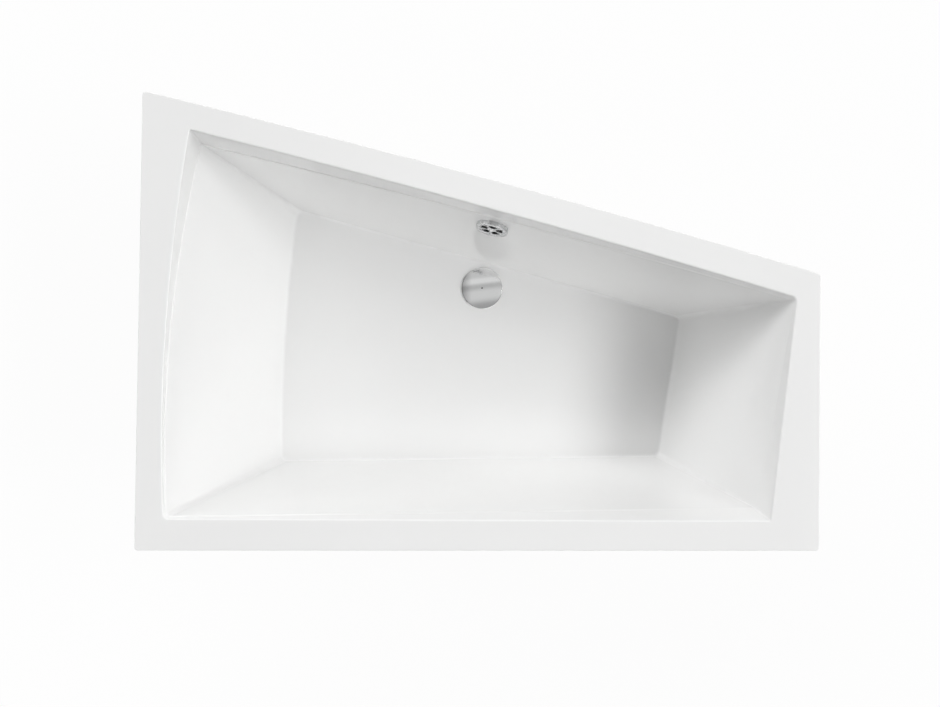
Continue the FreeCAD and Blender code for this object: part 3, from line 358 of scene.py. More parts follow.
@dataclass(frozen=True)
class ChipboardFinish(Finish):
    """Pressed wood chips, coarse and fine."""

    chips: tuple[tuple[Colour, Colour, float], ...] = (
        ((1, 2.2, 1), (0.2, 0.1, 0.6), 130.0), ((2.0, 1, 1.4), (0.1, 0.3, 2.1), 330.0))
    chip_tones: tuple[Pair, ...] = ((0.2, 0.45), (0.42, 0.8), (0.6, 1.0), (0.85, 1.35))
    chip_depth: float = 0.0003
    chip_dulls: float = 0.1

    def inputs(self, board: Board) -> dict[str, Any]:
        """Shader inputs that vary over the surface.

        Args:
            board: the material's nodes.

        Returns:
            Values and wires by the name of their socket.
        """
        coarse, fine = [board.cells(board.place(stretch, turn), scale) for stretch, turn, scale in self.chips]
        level = board.grey(board.mix(0.5, coarse, fine))
        return {"Base Color": self.shades(board, level, self.chip_tones),
                "Roughness": self.roughness + self.chip_dulls * level,
                "Normal": board.bump(level, self.chip_depth)}


@dataclass(frozen=True)
class TimberFinish(Finish):
    """Raw planed softwood, with the grain along one axis."""

    turn: float = 0.0
    grain_stretch: Colour = (0.06, 1, 1)
    ring_scale: float = 60.0
    ring_bend: float = 7.0
    ring_tones: tuple[Pair, ...] = ((0.1, 0.72), (0.6, 1.0), (0.95, 1.18))
    pore_stretch: Colour = (12, 1400, 1400)
    pore_depth: float = 0.0002
    pore_share: float = 0.35
    pore_tone: float = 0.5
    pore_dulls: float = 0.12
    drift_scale: float = 18.0
    drift_share: float = 0.3
    drift_tone: float = 1.25

    def inputs(self, board: Board) -> dict[str, Any]:
        """Shader inputs that vary over the surface.

        Args:
            board: the material's nodes.

        Returns:
            Values and wires by the name of their socket.
        """
        spot = board.place(self.grain_stretch, (0, 0, self.turn))
        drift = board.noise(spot, self.drift_scale, detail=3.0)
        rings = board.wire("ShaderNodeTexWave", {"wave_type": "BANDS", "bands_direction": "DIAGONAL"},
                           {"Vector": spot, "Scale": self.ring_scale, "Distortion": self.ring_bend,
                            "Detail": 2.0, "Detail Scale": 0.6})
        pores = board.noise(board.place(self.pore_stretch, (0, 0, self.turn)), scale=1.0, detail=2.0)
        early = self.shades(board, rings, self.ring_tones)
        colour = board.mix(self.pore_share * pores, early, self.shade(self.pore_tone))
        colour = board.mix(self.drift_share * drift, colour, self.shade(self.drift_tone))
        return {"Base Color": colour, "Roughness": self.roughness + self.pore_dulls * pores,
                "Normal": board.bump(pores, self.pore_depth)}


@dataclass(frozen=True)
class GalvanisedFinish(Finish):
    """Zinc crystals on sheet steel, each with its own brightness."""

    crystal_scale: float = 75.0
    crystal_tones: tuple[Pair, ...] = ((0.2, 0.82), (0.55, 1.0), (0.85, 1.14))
    crystal_dulls: float = 0.16
    dust_scale: float = 40.0
    dust_share: float = 0.35
    dust_tone: float = 0.75
    dust_dulls: float = 0.12

    def inputs(self, board: Board) -> dict[str, Any]:
        """Shader inputs that vary over the surface.

        Args:
            board: the material's nodes.

        Returns:
            Values and wires by the name of their socket.
        """
        spot = board.place()
        level = board.grey(board.cells(spot, self.crystal_scale))
        dust = board.noise(spot, self.dust_scale, detail=5.0, rough=0.65)
        clean = self.shades(board, level, self.crystal_tones)
        return {"Base Color": board.mix(self.dust_share * dust, clean, self.shade(self.dust_tone)),
                "Roughness": self.roughness + self.crystal_dulls * level + self.dust_dulls * dust}


@dataclass(frozen=True)
class MetalFinish(Finish):
    """Plated, brushed or turned metal with faint marks of handling."""

    mark_scale: float = 60.0
    mark_tone: float = 0.9
    mark_roughness: float = 0.1
    line_scale: Colour = (200, 200, 200)
    line_depth: float = 0.00002

    def inputs(self, board: Board) -> dict[str, Any]:
        """Shader inputs that vary over the surface.

        Args:
            board: the material's nodes.

        Returns:
            Values and wires by the name of their socket.
        """
        marks = board.noise(board.place(), self.mark_scale, detail=4.0, rough=0.6)
        lines = board.noise(board.place(self.line_scale), scale=1.0, detail=2.0)
        colour = board.mix(marks, self.shade(self.mark_tone), self.colour)
        return {"Base Color": colour, "Roughness": self.roughness + self.mark_roughness * marks,
                "Normal": board.bump(lines, self.line_depth)}


@dataclass(frozen=True)
class PlasticFinish(Finish):
    """Moulded plastic or rubber with a fine grain and a little dust."""

    grain_scale: float = 900.0
    grain_depth: float = 0.00004
    dust_scale: float = 34.0
    dust_tone: float = 0.9
    dust_dulls: float = 0.15
    clean_tone: float = 1.05

    def inputs(self, board: Board) -> dict[str, Any]:
        """Shader inputs that vary over the surface.

        Args:
            board: the material's nodes.

        Returns:
            Values and wires by the name of their socket.
        """
        spot = board.place()
        grain = board.noise(spot, self.grain_scale, detail=2.0)
        dust = board.noise(spot, self.dust_scale, detail=5.0, rough=0.62)
        colour = board.mix(dust, self.shade(self.dust_tone), self.shade(self.clean_tone))
        return {"Base Color": colour, "Roughness": self.roughness + self.dust_dulls * dust,
                "Normal": board.bump(grain, self.grain_depth)}


class Slot(Enum):
    """Material slots of the part, each with the finish that it gets here."""

    ACRYLIC = AcrylicFinish("white_acrylic", (0.955, 0.956, 0.952), 0.14)
    LAMINATE = LaminateFinish("glass_laminate", (0.72, 0.70, 0.60), 0.62)
    CHIPBOARD = ChipboardFinish("raw_chipboard", (0.52, 0.37, 0.22), 0.74)
    BATTEN_WOOD = TimberFinish("softwood_along", (0.62, 0.45, 0.27), 0.62)
    GALVANISED = GalvanisedFinish("galvanised_sheet", (0.60, 0.62, 0.64), 0.30, 1.0)
    FASTENER = MetalFinish("zinc_plate", (0.66, 0.65, 0.60), 0.26, 1.0)
    STAINLESS = MetalFinish("stainless_steel", (0.66, 0.66, 0.65), 0.20, 1.0, line_scale=(60, 60, 2400))
    CHROME = MetalFinish("polished_chrome", (0.88, 0.885, 0.885), 0.045, 1.0, mark_scale=45.0,
                         mark_tone=0.97, mark_roughness=0.05, line_scale=(90, 90, 90), line_depth=0.000004)
    BRASS = MetalFinish("turned_brass", (0.70, 0.51, 0.22), 0.24, 1.0, mark_tone=0.8)
    PIPE_PLASTIC = PlasticFinish("white_pipe_plastic", (0.80, 0.80, 0.775), 0.36)
    INNER_PLASTIC = PlasticFinish("grey_plastic", (0.46, 0.47, 0.48), 0.40)
    NUT_PLASTIC = PlasticFinish("black_plastic", (0.030, 0.030, 0.032), 0.42, dust_tone=1.6)
    SEAL_RUBBER = PlasticFinish("seal_rubber", (0.018, 0.018, 0.018), 0.62, dust_tone=1.9)
    CABLE_SKIN = PlasticFinish("cable_skin", (0.035, 0.035, 0.038), 0.46, dust_tone=1.4)


TIMBER_ACROSS = TimberFinish("softwood_across", (0.62, 0.45, 0.27), 0.62, turn=math.pi / 2)
# A darker, rougher copy of the chrome for the overflow cap alone: the darker colour is painted shade, and the
# roughness spreads the lamps' glints.
SHADED_CHROME = MetalFinish("shaded_chrome", (0.64, 0.645, 0.65), 0.24, 1.0, mark_tone=0.92,
                           mark_roughness=0.06, line_scale=(90, 90, 90), line_depth=0.000004)


@dataclass(frozen=True)
class Outline:
    """Closed plan outline with four sides, straight or bowed, and four rounded corners.

    Corners run front left, front right, back right, back left. A side has the number of the
    corner that it starts from.
    """

    corners: tuple[Pair, ...]
    radii: tuple[float, ...]
    bows: tuple[float, ...]

    def grown(self, distance: float) -> "Outline":
        """The outline moved outwards.

        Args:
            distance: how far each side moves.

        Returns:
            The larger outline.
        """
        flat = [Vector((*corner, 0)) for corner in self.corners]
        moved = []
        for number, here in enumerate(flat):
            before = (here - flat[number - 1]).normalized().cross(UP)
            after = (flat[(number + 1) % len(flat)] - here).normalized().cross(UP)
            moved.append(tuple((here + (before + after) * distance / (1 + before.dot(after))).xy))
        return Outline(tuple(moved), tuple(radius + distance for radius in self.radii), self.bows)

    def points(self, heights: Sequence[float], side_steps: Sequence[int], corner_steps: int) -> list[Vector]:
        """Places along the outline, side by side and corner by corner.

        Args:
            heights: height of each corner.
            side_steps: steps along each side.
            corner_steps: steps round each corner.

        Returns:
            The places in order.
        """
        count = len(self.corners)
        flat = [Vector((*corner, 0)) for corner in self.corners]
        leaving, arriving, middles, lengths = [], [], [], []
        for i in range(count):
            chord = flat[(i + 1) % count] - flat[i]
            along = chord.normalized()
            lean = math.atan2(4 * self.bows[i], chord.length)
            leaving.append(Matrix.Rotation(-lean, 3, "Z") @ along)
            arriving.append(Matrix.Rotation(lean, 3, "Z") @ along)
            middles.append((flat[i] + flat[(i + 1) % count]) / 2 + along.cross(UP) * self.bows[i])
            lengths.append(chord.length)
        starts, ends, turns = [], [], []
        for i in range(count):
            turn = arriving[i - 1].angle(leaving[i])
            trim = self.radii[i] * math.tan(turn / 2)
            start, end = flat[i] - arriving[i - 1] * trim, flat[i] + leaving[i] * trim
            start.z = heights[i] + (heights[i - 1] - heights[i]) * trim / lengths[i - 1]
            end.z = heights[i] + (heights[(i + 1) % count] - heights[i]) * trim / lengths[i]
            starts.append(start)
            ends.append(end)
            turns.append(turn)
        places = []
        for i in range(count):
            j = (i + 1) % count
            sag = middles[i] - (ends[i] + starts[j]) / 2
            sag.z = 0
            for step in range(side_steps[i]):
                t = step / side_steps[i]
                places.append(ends[i].lerp(starts[j], t) + sag * (4 * t * (1 - t)))
            middle = starts[j] - arriving[i].cross(UP) * self.radii[j]
            arm = starts[j] - middle
            for step in range(corner_steps):
                t = step / corner_steps
                place = middle + Matrix.Rotation(turns[j] * t, 3, "Z") @ arm
                place.z = starts[j].z + (ends[j].z - starts[j].z) * t
                places.append(place)
        return places


class Mill:
    """Mesh operations that the pieces share."""

    UPRIGHT = 0.3
    RIB_EVERY = 3

    @staticmethod
    def loop_edges(bm: BMesh, ring: Sequence[BMVert]) -> list[BMEdge]:
        """Edges between the neighbours of a closed ring."""
        return [bm.edges.get((first, second)) for first, second in zip(ring, [*ring[1:], ring[0]])]

    @staticmethod
    def drawn(bm: BMesh, levels: Sequence[Sequence[Vector]]) -> list[list[BMVert]]:
        """Draw a skin over outlines of equal count, each extruded from the one before.

        Args:
            bm: the mesh.
            levels: places of each outline.

        Returns:
            The rings of vertices.
        """
        circle = bmesh.ops.create_circle(bm, cap_ends=False, radius=1.0, segments=len(levels[0]))
        rings = [list(circle["verts"])]
        for _ in levels[1:]:
            made = bmesh.ops.extrude_edge_only(bm, edges=Mill.loop_edges(bm, rings[-1]))
            fresh = {part for part in made["geom"] if isinstance(part, BMVert)}
            rings.append([next(edge.other_vert(vert) for edge in vert.link_edges
                               if edge.other_vert(vert) in fresh) for vert in rings[-1]])
        for ring, level in zip(rings, levels):
            for vert, place in zip(ring, level):
                vert.co = place
        bmesh.ops.recalc_face_normals(bm, faces=bm.faces)
        bm.normal_update()
        return rings

    @staticmethod
    def rounded(bm: BMesh, edges: Iterable[BMEdge], width: float, segments: int = 3,
                clamp: bool = False) -> None:
        """Round edges in some segments, so far into each face; a clamp keeps to the room there is."""
        bmesh.ops.bevel(bm, geom=list(edges), offset=width, offset_type="OFFSET", segments=segments,
                        profile=0.5, affect="EDGES", material=-1, clamp_overlap=clamp, loop_slide=True)

    @staticmethod
    def sharp(bm: BMesh, degrees: float = 40.0, longer: float = 0.0) -> list[BMEdge]:
        """Edges whose faces meet at more than an angle.

        Args:
            bm: the mesh.
            degrees: the angle.
            longer: least length of an edge.

        Returns:
            The edges.
        """
        limit = math.radians(degrees)
        return [edge for edge in bm.edges if edge.is_manifold and edge.calc_face_angle(0.0) > limit
                and edge.calc_length() > longer]

    @staticmethod
    def faced(bm: BMesh, up: bool) -> None:
        """Turn all faces the same way round.

        Args:
            bm: the mesh.
            up: whether the largest face looks up.
        """
        bmesh.ops.recalc_face_normals(bm, faces=bm.faces)
        if (max(bm.faces, key=lambda face: face.calc_area()).normal.z > 0) != up:
            bmesh.ops.reverse_faces(bm, faces=bm.faces)

    @staticmethod
    def spun(bm: BMesh, profile: Sequence[Pair], steps: int, closed: bool = False) -> None:
        """Turn a half profile round the Z axis.

        Args:
            bm: the mesh it is added to.
            profile: radius and height of each corner.
            steps: steps of the full turn.
            closed: whether the last corner joins the first.
        """
        verts = [bm.verts.new((radius, 0, height)) for radius, height in profile]
        pairs = list(zip(verts, verts[1:])) + ([(verts[-1], verts[0])] if closed else [])
        edges = [bm.edges.new(pair) for pair in pairs]
        bmesh.ops.spin(bm, geom=verts + edges, cent=(0, 0, 0), axis=UP, dvec=(0, 0, 0), angle=FULL_TURN,
                       steps=steps, use_merge=True, use_duplicate=False)
        bmesh.ops.remove_doubles(bm, verts=bm.verts, dist=MERGE)
        bmesh.ops.recalc_face_normals(bm, faces=bm.faces)

    @staticmethod
    def hexagon(bm: BMesh, flats: float, low: float, high: float, edge: float) -> None:
        """Add a hexagonal bar with rounded edges along Z.

        Args:
            bm: the mesh.
            flats: width over the flats.
            low: height of its lower end.
            high: height of its upper end.
            edge: width of the rounding.
        """
        radius = flats / math.sqrt(3)
        made = bmesh.ops.create_cone(bm, cap_ends=True, segments=6, radius1=radius, radius2=radius,
                                     depth=high - low, matrix=Matrix.Translation((0, 0, (low + high) / 2)))
        edges = {side for vert in made["verts"] for side in vert.link_edges}
        Mill.rounded(bm, edges, edge, segments=2)

    @staticmethod
    def ribbed(bm: BMesh, low: float, high: float, least: float, inset: float, height: float) -> None:
        """Raise ribs on an upright round wall between two heights.

        Args:
            bm: the mesh, on the Z axis.
            low: lowest middle of a face.
            high: highest middle of a face.
            least: least radius of a face's middle.
            inset: how far a rib's foot draws in.
            height: height of the ribs.
        """
        found = []
        for face in bm.faces:
            middle = face.calc_center_median()
            upright = abs(face.normal.z) < Mill.UPRIGHT and face.normal.dot(middle) > 0
            if upright and low < middle.z < high and middle.xy.length > least:
                found.append(face)
        found.sort(key=lambda face: math.atan2(*face.calc_center_median().yx))
        bmesh.ops.inset_individual(bm, faces=found[::Mill.RIB_EVERY], thickness=inset, depth=height)

    @staticmethod
    def piece(name: str, bm: BMesh, slot: Slot, body: str, nodes: Sequence[str],
              crease: float = 38.0) -> Object:
        """Make a finished piece of a mesh and let it stand for its solids.

        Args:
            name: the piece's name.
            bm: its mesh, which is used up.
            slot: its material slot.
            body: the body that it rides on.
            nodes: the solids that it stands for.
            crease: angle in degrees past which an edge shows as sharp.

        Returns:
            The object.
        """
        mesh = bpy.data.meshes.new(name)
        for face in bm.faces:
            face.smooth = True
        bm.to_mesh(mesh)
        bm.free()
        mesh.set_sharp_from_angle(angle=math.radians(crease))
        mesh.materials.append(slot.value.material())
        made = bpy.data.objects.new(name, mesh)
        bpy.context.scene.collection.objects.link(made)
        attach(made, body)
        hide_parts(*nodes)
        LOG.info("%s: %d faces, stands for %s", name, len(mesh.polygons), ", ".join(nodes))
        return made


@dataclass(frozen=True)
class TubForm:
    """Outlines that the sheet is drawn over, from the rim down to the floor."""

    rim: Outline = Outline(((-0.8, -0.525), (0.8, -0.525), (0.8, 0.135), (-0.8, 0.525)),
                           (0.008, 0.008, 0.008, 0.008), (0, 0, 0.012, 0))
    opening: Outline = Outline(((-0.737, -0.454), (0.681, -0.455), (0.742, 0.07801), (-0.693, 0.43902)),
                               (0.013, 0.004, 0.013, 0.004), (0, 0, 0.009, 0.023))
    crease: Outline = Outline(((-0.733, -0.4505), (0.665, -0.433), (0.738, 0.07451), (-0.6825, 0.42702)),
                              (0.015, 0.006, 0.015, 0.006), (0, 0.004, 0.009, 0.030))
    floor: Outline = Outline(((-0.506, -0.3515), (0.5145, -0.3315), (0.572, 0.05049), (-0.4755, 0.32054)),
                             (0.018, 0.018, 0.018, 0.018), (0, 0, 0, 0.013))
    crease_depths: tuple[float, ...] = (0.010, 0.062, 0.010, 0.105)
    basin_depth: float = 0.43
    floor_strip: float = 0.0125
    side_steps: tuple[int, ...] = (96, 48, 96, 64)
    corner_steps: int = 10
    wall_rows: int = 34

    def level(self, outline: Outline, heights: Sequence[float]) -> list[Vector]:
        """Places along one outline at the heights of its corners."""
        return outline.points(heights, self.side_steps, self.corner_steps)

    def basin(self, rim_top: float, distance: float) -> list[list[Vector]]:
        """Opening, crease and floor of the basin, and the floor's strip next to the walls.

        Args:
            rim_top: height of the rim.
            distance: how far the basin is grown outwards.

        Returns:
            Places of the four outlines.
        """
        count = len(self.crease_depths)
        bottom = [rim_top - self.basin_depth - distance] * count
        return [self.level(self.opening.grown(distance), [rim_top] * count),
                self.level(self.crease.grown(distance), [rim_top - depth for depth in self.crease_depths]),
                self.level(self.floor.grown(distance), bottom),
                self.level(self.floor.grown(distance - self.floor_strip), bottom)]

    def split_walls(self, bm: BMesh) -> None:
        """Divide the long edges of the walls into rows.

        Args:
            bm: the mesh of walls and floor.
        """
        tall = [edge for edge in bm.edges
                if abs(edge.verts[0].co.z - edge.verts[1].co.z) > self.basin_depth / 2]
        bmesh.ops.subdivide_edges(bm, edges=tall, cuts=self.wall_rows, use_grid_fill=True)

    def close_floor(self, bm: BMesh, middle: Vector, radius: float, steps: int) -> list[BMVert]:
        """Fill the floor between its strip and a round hole.

        Args:
            bm: the mesh of walls and strip.
            middle: middle of the hole on the floor.
            radius: radius of the hole.
            steps: steps round the hole.

        Returns:
            The ring of the hole.
        """
        edge = [side for side in bm.edges
                if side.is_boundary and side.verts[0].co.z < middle.z + self.basin_depth / 2]
        circle = bmesh.ops.create_circle(bm, cap_ends=False, radius=radius, segments=steps,
                                         matrix=Matrix.Translation(middle))
        ring = list(circle["verts"])
        bmesh.ops.bridge_loops(bm, edges=edge + Mill.loop_edges(bm, ring))
        return ring


@dataclass(frozen=True)
class OverflowPlace:
    """Where the overflow goes through the wall: a point on it and the axis into the basin."""

    origin: Vector
    axis: Vector
    reach: float = 0.03
    margin: float = 1.7
    cuts: int = 3

    def matrix(self) -> Matrix:
        """Frame on the wall with Z along the axis.

        Returns:
            The matrix from the overflow's own frame.
        """
        side = UP.cross(self.axis).normalized()
        turn = Matrix((side, self.axis.cross(side), self.axis)).transposed().to_4x4()
        return Matrix.Translation(self.origin) @ turn

    def open_hole(self, bm: BMesh, radius: float) -> None:
        """Cut a round hole through a thin wall.

        Args:
            bm: the wall's mesh.
            radius: radius of the hole.
        """
        inverse = self.matrix().inverted()

        def local(vert: BMVert) -> Vector:
            """Place of a vertex in the overflow's frame."""
            return inverse @ vert.co

        def close(vert: BMVert, limit: float) -> bool:
            """Whether a vertex lies within a radius of the axis."""
            spot = local(vert)
            return spot.xy.length < limit and abs(spot.z) < self.reach

        wide = radius * self.margin
        near = [edge for edge in bm.edges if all(close(vert, wide) for vert in edge.verts)]
        bmesh.ops.subdivide_edges(bm, edges=near, cuts=self.cuts, use_grid_fill=True)
        inside = [face for face in bm.faces if any(close(vert, radius) for vert in face.verts)]
        bmesh.ops.delete(bm, geom=inside, context="FACES")
        for vert in {vert for edge in bm.edges if edge.is_boundary for vert in edge.verts}:
            if close(vert, wide):
                spot = local(vert)
                spot.xy = spot.xy.normalized() * radius
                vert.co = self.matrix() @ spot


@dataclass
class TubShell:
    """The formed acrylic sheet: lip, rim, steep band, walls, floor and the recess of the waste."""

    form: TubForm
    overflow: OverflowPlace
    drain: Vector
    lip_height: float = 0.038
    thickness: float = 0.005
    rim_round: float = 0.002
    opening_round: float = 0.003
    ledge: float = 0.0026
    ledge_drops: tuple[float, ...] = (0.0011, 0.0070, 0.0075, 0.0011)
    crease_round: float = 0.0008
    ledge_round: float = 0.0014
    floor_round: float = 0.006
    round_steps: tuple[int, ...] = (5, 5, 3, 4, 8)
    pocket_radius: float = 0.052
    pocket_depth: float = 0.004
    pocket_round: float = 0.0008
    drain_hole: float = 0.045
    overflow_hole: float = 0.027
    drain_steps: int = 96

    def build(self) -> Object:
        """Draw the sheet and give it its thickness.

        Returns:
            The object.
        """
        rim_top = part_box("tub_shell")[1].z
        count = len(self.form.rim.corners)
        bm = bmesh.new()
        levels = [self.form.level(self.form.rim, [rim_top - self.lip_height] * count),
                  self.form.level(self.form.rim, [rim_top] * count)]
        opening, crease, floor, strip = self.form.basin(rim_top, 0.0)
        heights = [rim_top - depth - drop for depth, drop in zip(self.form.crease_depths, self.ledge_drops)]
        ledge = self.form.level(self.form.crease.grown(-self.ledge), heights)
        rings = Mill.drawn(bm, [*levels, opening, crease, ledge, floor, strip])
        widths = (self.rim_round, self.opening_round, self.crease_round, self.ledge_round, self.floor_round)
        for ring, width, segments in zip(rings[1:], widths, self.round_steps):
            Mill.rounded(bm, Mill.loop_edges(bm, ring), width, segments)
        self.form.split_walls(bm)
        self._floor(bm, rim_top - self.form.basin_depth)
        self.overflow.open_hole(bm, self.overflow_hole)
        Mill.faced(bm, True)
        made = Mill.piece("shell", bm, Slot.ACRYLIC, "tub", ["tub_shell"], SHEET_CREASE)
        sheet = made.modifiers.new("sheet", "SOLIDIFY")
        sheet.thickness, sheet.offset = self.thickness, -1.0
        normals = made.modifiers.new("flats", "WEIGHTED_NORMAL")
        normals.mode, normals.weight, normals.keep_sharp = "FACE_AREA", 50, True
        return made

    def _floor(self, bm: BMesh, height: float) -> None:
        """Close the floor round the recess of the waste.

        Args:
            bm: the sheet's mesh.
            height: height of the floor.
        """
        middle = Vector((self.drain.x, self.drain.y, height))
        top = self.form.close_floor(bm, middle, self.pocket_radius, self.drain_steps)
        sunk = self._ring_down(bm, Mill.loop_edges(bm, top), 1.0, self.pocket_depth)
        self._ring_down(bm, sunk, self.drain_hole / self.pocket_radius, 0.0)
        Mill.rounded(bm, Mill.loop_edges(bm, top), self.pocket_round)

    def _ring_down(self, bm: BMesh, loop: list[BMEdge], scale: float,
                   drop: float) -> list[BMEdge]:
        """Extrude a ring round the waste.

        Args:
            bm: the sheet's mesh.
            loop: edges of the ring.
            scale: its new size round the waste.
            drop: how far it goes down.

        Returns:
            Edges of the new ring.
        """
        made = bmesh.ops.extrude_edge_only(bm, edges=loop)["geom"]
        verts = [part for part in made if isinstance(part, BMVert)]
        space = Matrix.Translation((-self.drain.x, -self.drain.y, 0))
        bmesh.ops.scale(bm, vec=(scale, scale, 1), space=space, verts=verts)
        bmesh.ops.translate(bm, vec=(0, 0, -drop), verts=verts)
        fresh = set(verts)
        return [part for part in made if isinstance(part, BMEdge)
                and all(vert in fresh for vert in part.verts)]


@dataclass
class LaminateBacking:
    """The glass fibre layer on the back of walls and floor."""

    form: TubForm
    overflow: OverflowPlace
    drain: Vector
    distance: float = 0.0083
    thickness: float = 0.003
    top_drop: float = 0.0053
    crease_round: float = 0.003
    floor_round: float = 0.010
    floor_round_steps: int = 6
    drain_hole: float = 0.064
    overflow_hole: float = 0.046
    drain_steps: int = 72

    def build(self) -> Object:
        """Draw the layer's outer face and thicken it towards the sheet.

        Returns:
            The object.
        """
        rim_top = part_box("tub_shell")[1].z
        top, crease, floor, strip = self.form.basin(rim_top, self.distance)
        below = [high.lerp(low, self.top_drop / (high.z - low.z)) for high, low in zip(top, crease)]
        bm = bmesh.new()
        rings = Mill.drawn(bm, [below, crease, floor, strip])
        Mill.rounded(bm, Mill.loop_edges(bm, rings[1]), self.crease_round)
        Mill.rounded(bm, Mill.loop_edges(bm, rings[2]), self.floor_round, self.floor_round_steps)
        self.form.split_walls(bm)
        middle = Vector((self.drain.x, self.drain.y, floor[0].z))
        self.form.close_floor(bm, middle, self.drain_hole, self.drain_steps)
        self.overflow.open_hole(bm, self.overflow_hole)
        Mill.faced(bm, False)
        made = Mill.piece("backing", bm, Slot.LAMINATE, "tub", ["laminate_backing"], SHEET_CREASE)
        layer = made.modifiers.new("layer", "SOLIDIFY")
        layer.thickness, layer.offset = self.thickness, -1.0
        return made


@dataclass
class Plug:
    """The chrome cover of the waste, with the small dimple in its middle painted black as shade."""

    radius: float = 0.056
    edge: float = 0.0026
    rise: float = 0.003
    edge_round: float = 0.001
    hollow: float = 0.0008
    rim_width: float = 0.005
    mark_radius: float = 0.0021
    mark_depth: float = 0.0032
    mark_taper: float = 0.85
    mark_wall: float = 0.8
    rings: int = 18
    steps: int = 128

    def build(self) -> Object:
        """Turn the domed cover.

        Returns:
            The object.
        """
        low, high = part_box("drain_cover")
        ball = (self.radius ** 2 + self.rise ** 2) / (2 * self.rise)
        inner = self.radius - self.rim_width
        profile = [(0, self.hollow), (inner - self.hollow, self.hollow), (inner, 0), (self.radius, 0)]
        for ring in range(self.rings, 0, -1):
            reach = self.radius * ring / self.rings
            profile.append((reach, self.edge + self.rise - ball + math.sqrt(ball ** 2 - reach ** 2)))
        top = self.edge + self.rise
        profile += [(self.mark_radius, top),
                    (self.mark_radius * self.mark_taper, top - self.mark_depth * self.mark_wall),
                    (0, top - self.mark_depth)]
        bm = bmesh.new()
        Mill.spun(bm, profile, self.steps)
        rims = [edge for edge in Mill.sharp(bm) if edge.verts[0].co.xy.length > self.radius - MERGE]
        Mill.rounded(bm, rims, self.edge_round, segments=4)
        bmesh.ops.translate(bm, vec=((low.x + high.x) / 2, (low.y + high.y) / 2, low.z), verts=bm.verts)
        made = Mill.piece("waste_cover", bm, Slot.CHROME, "plug", ["drain_cover"])
        # Painted shade: the faces of the small dimple in the middle get black rubber, standing for the shade
        # inside the dimple.
        made.data.materials.append(Slot.SEAL_RUBBER.value.material())
        middle = ((low + high) / 2).xy
        for polygon in made.data.polygons:
            if (polygon.center.xy - middle).length < self.mark_radius:
                polygon.material_index = 1
        return made


@dataclass
class OverflowKnob:
    """The chrome turning cap on the wall with its water slots and its screw."""

    place: OverflowPlace
    radius: float = 0.040
    back: float = 0.0016
    front: float = 0.0130
    seat: float = 0.0114
    dish_radius: float = 0.030
    slot_inner: float = 0.0115
    slot_outer: float = 0.0275
    slot_count: int = 5
    slot_width: float = math.radians(46)
    slot_first: float = math.radians(18)
    wall: float = 0.0026
    front_round: float = 0.0016
    dish_round: float = 0.0005
    dish_angle: float = 60.0
    boss_radius: float = 0.0095
    boss_bore: float = 0.00505
    boss_back: float = 0.0048
    screw_radius: float = 0.005
    screw_height: float = 0.0014
    shank_radius: float = 0.002
    shank_length: float = 0.016
    recess_radius: float = 0.0026
    recess_depth: float = 0.0009
    screw_steps: int = 36
    steps: int = 120

    def _in_slot(self, face: BMFace) -> bool:
        """Whether a face of the cap lies where a slot is cut.

        Args:
            face: the face, before the cap is placed on the wall.

        Returns:
            True inside a slot.
        """
        middle = face.calc_center_median()
        if not self.slot_inner < middle.xy.length < self.slot_outer or middle.z < self.seat - MERGE:
            return False
        pitch = FULL_TURN / self.slot_count
        away = (math.atan2(middle.y, middle.x) - self.slot_first + pitch / 2) % pitch - pitch / 2
        return abs(away) < self.slot_width / 2

    def build(self) -> Object:
        """Turn the cap, cut its slots and thicken it.

        Returns:
            The object.
        """
        profile = [(self.radius, self.back), (self.radius, self.front), (self.dish_radius, self.front),
                   (self.dish_radius, self.seat), (self.slot_outer, self.seat), (self.slot_inner, self.seat),
                   (0, self.seat)]
        bm = bmesh.new()
        Mill.spun(bm, profile, self.steps)
        bmesh.ops.delete(bm, geom=[face for face in bm.faces if self._in_slot(face)], context="FACES")
        if max(bm.faces, key=lambda face: face.calc_center_median().z).normal.z < 0:
            bmesh.ops.reverse_faces(bm, faces=bm.faces)
        outer = [edge for edge in Mill.sharp(bm) if edge.verts[0].co.xy.length > self.radius - MERGE]
        Mill.rounded(bm, outer, self.front_round, segments=5)
        dish = [edge for edge in Mill.sharp(bm, self.dish_angle)
                if edge.verts[0].co.xy.length < self.dish_radius + MERGE]
        Mill.rounded(bm, dish, self.dish_round)
        bmesh.ops.solidify(bm, geom=bm.faces[:], thickness=self.wall)
        sunk = self.seat - self.wall / 2
        Mill.spun(bm, [(self.boss_bore, self.boss_back), (self.boss_radius, self.boss_back),
                       (self.boss_radius, sunk), (self.boss_bore, sunk)], self.steps // 2, True)
        bmesh.ops.transform(bm, matrix=self.place.matrix(), verts=bm.verts)
        made = Mill.piece("overflow_cap", bm, Slot.CHROME, "knob", ["overflow_knob"])
        # Painted shade: the cap gets the darker copy of the chrome instead of the chrome of its slot.
        made.data.materials[0] = SHADED_CHROME.material()
        return made

    def build_screw(self) -> Object:
        """Turn the screw in the middle of the cap.

        Returns:
            The object.
        """
        top, end = self.seat + self.screw_height, self.seat - self.shank_length
        recess = top - self.recess_depth
        bm = bmesh.new()
        Mill.spun(bm, [(0, end), (self.shank_radius, end), (self.shank_radius, self.seat),
                       (self.screw_radius, self.seat), (self.screw_radius, top - self.screw_height / 2),
                       (self.screw_radius * Fastener.HEAD_TAPER, top), (self.recess_radius, top),
                       (self.recess_radius * Fastener.RECESS_TAPER, recess), (0, recess)], self.screw_steps)
        Fastener.lobe(bm, self.recess_radius, top)
        bmesh.ops.transform(bm, matrix=self.place.matrix(), verts=bm.verts)
        return Mill.piece("cap_screw", bm, Slot.CHROME, "knob", ["knob_screw"])


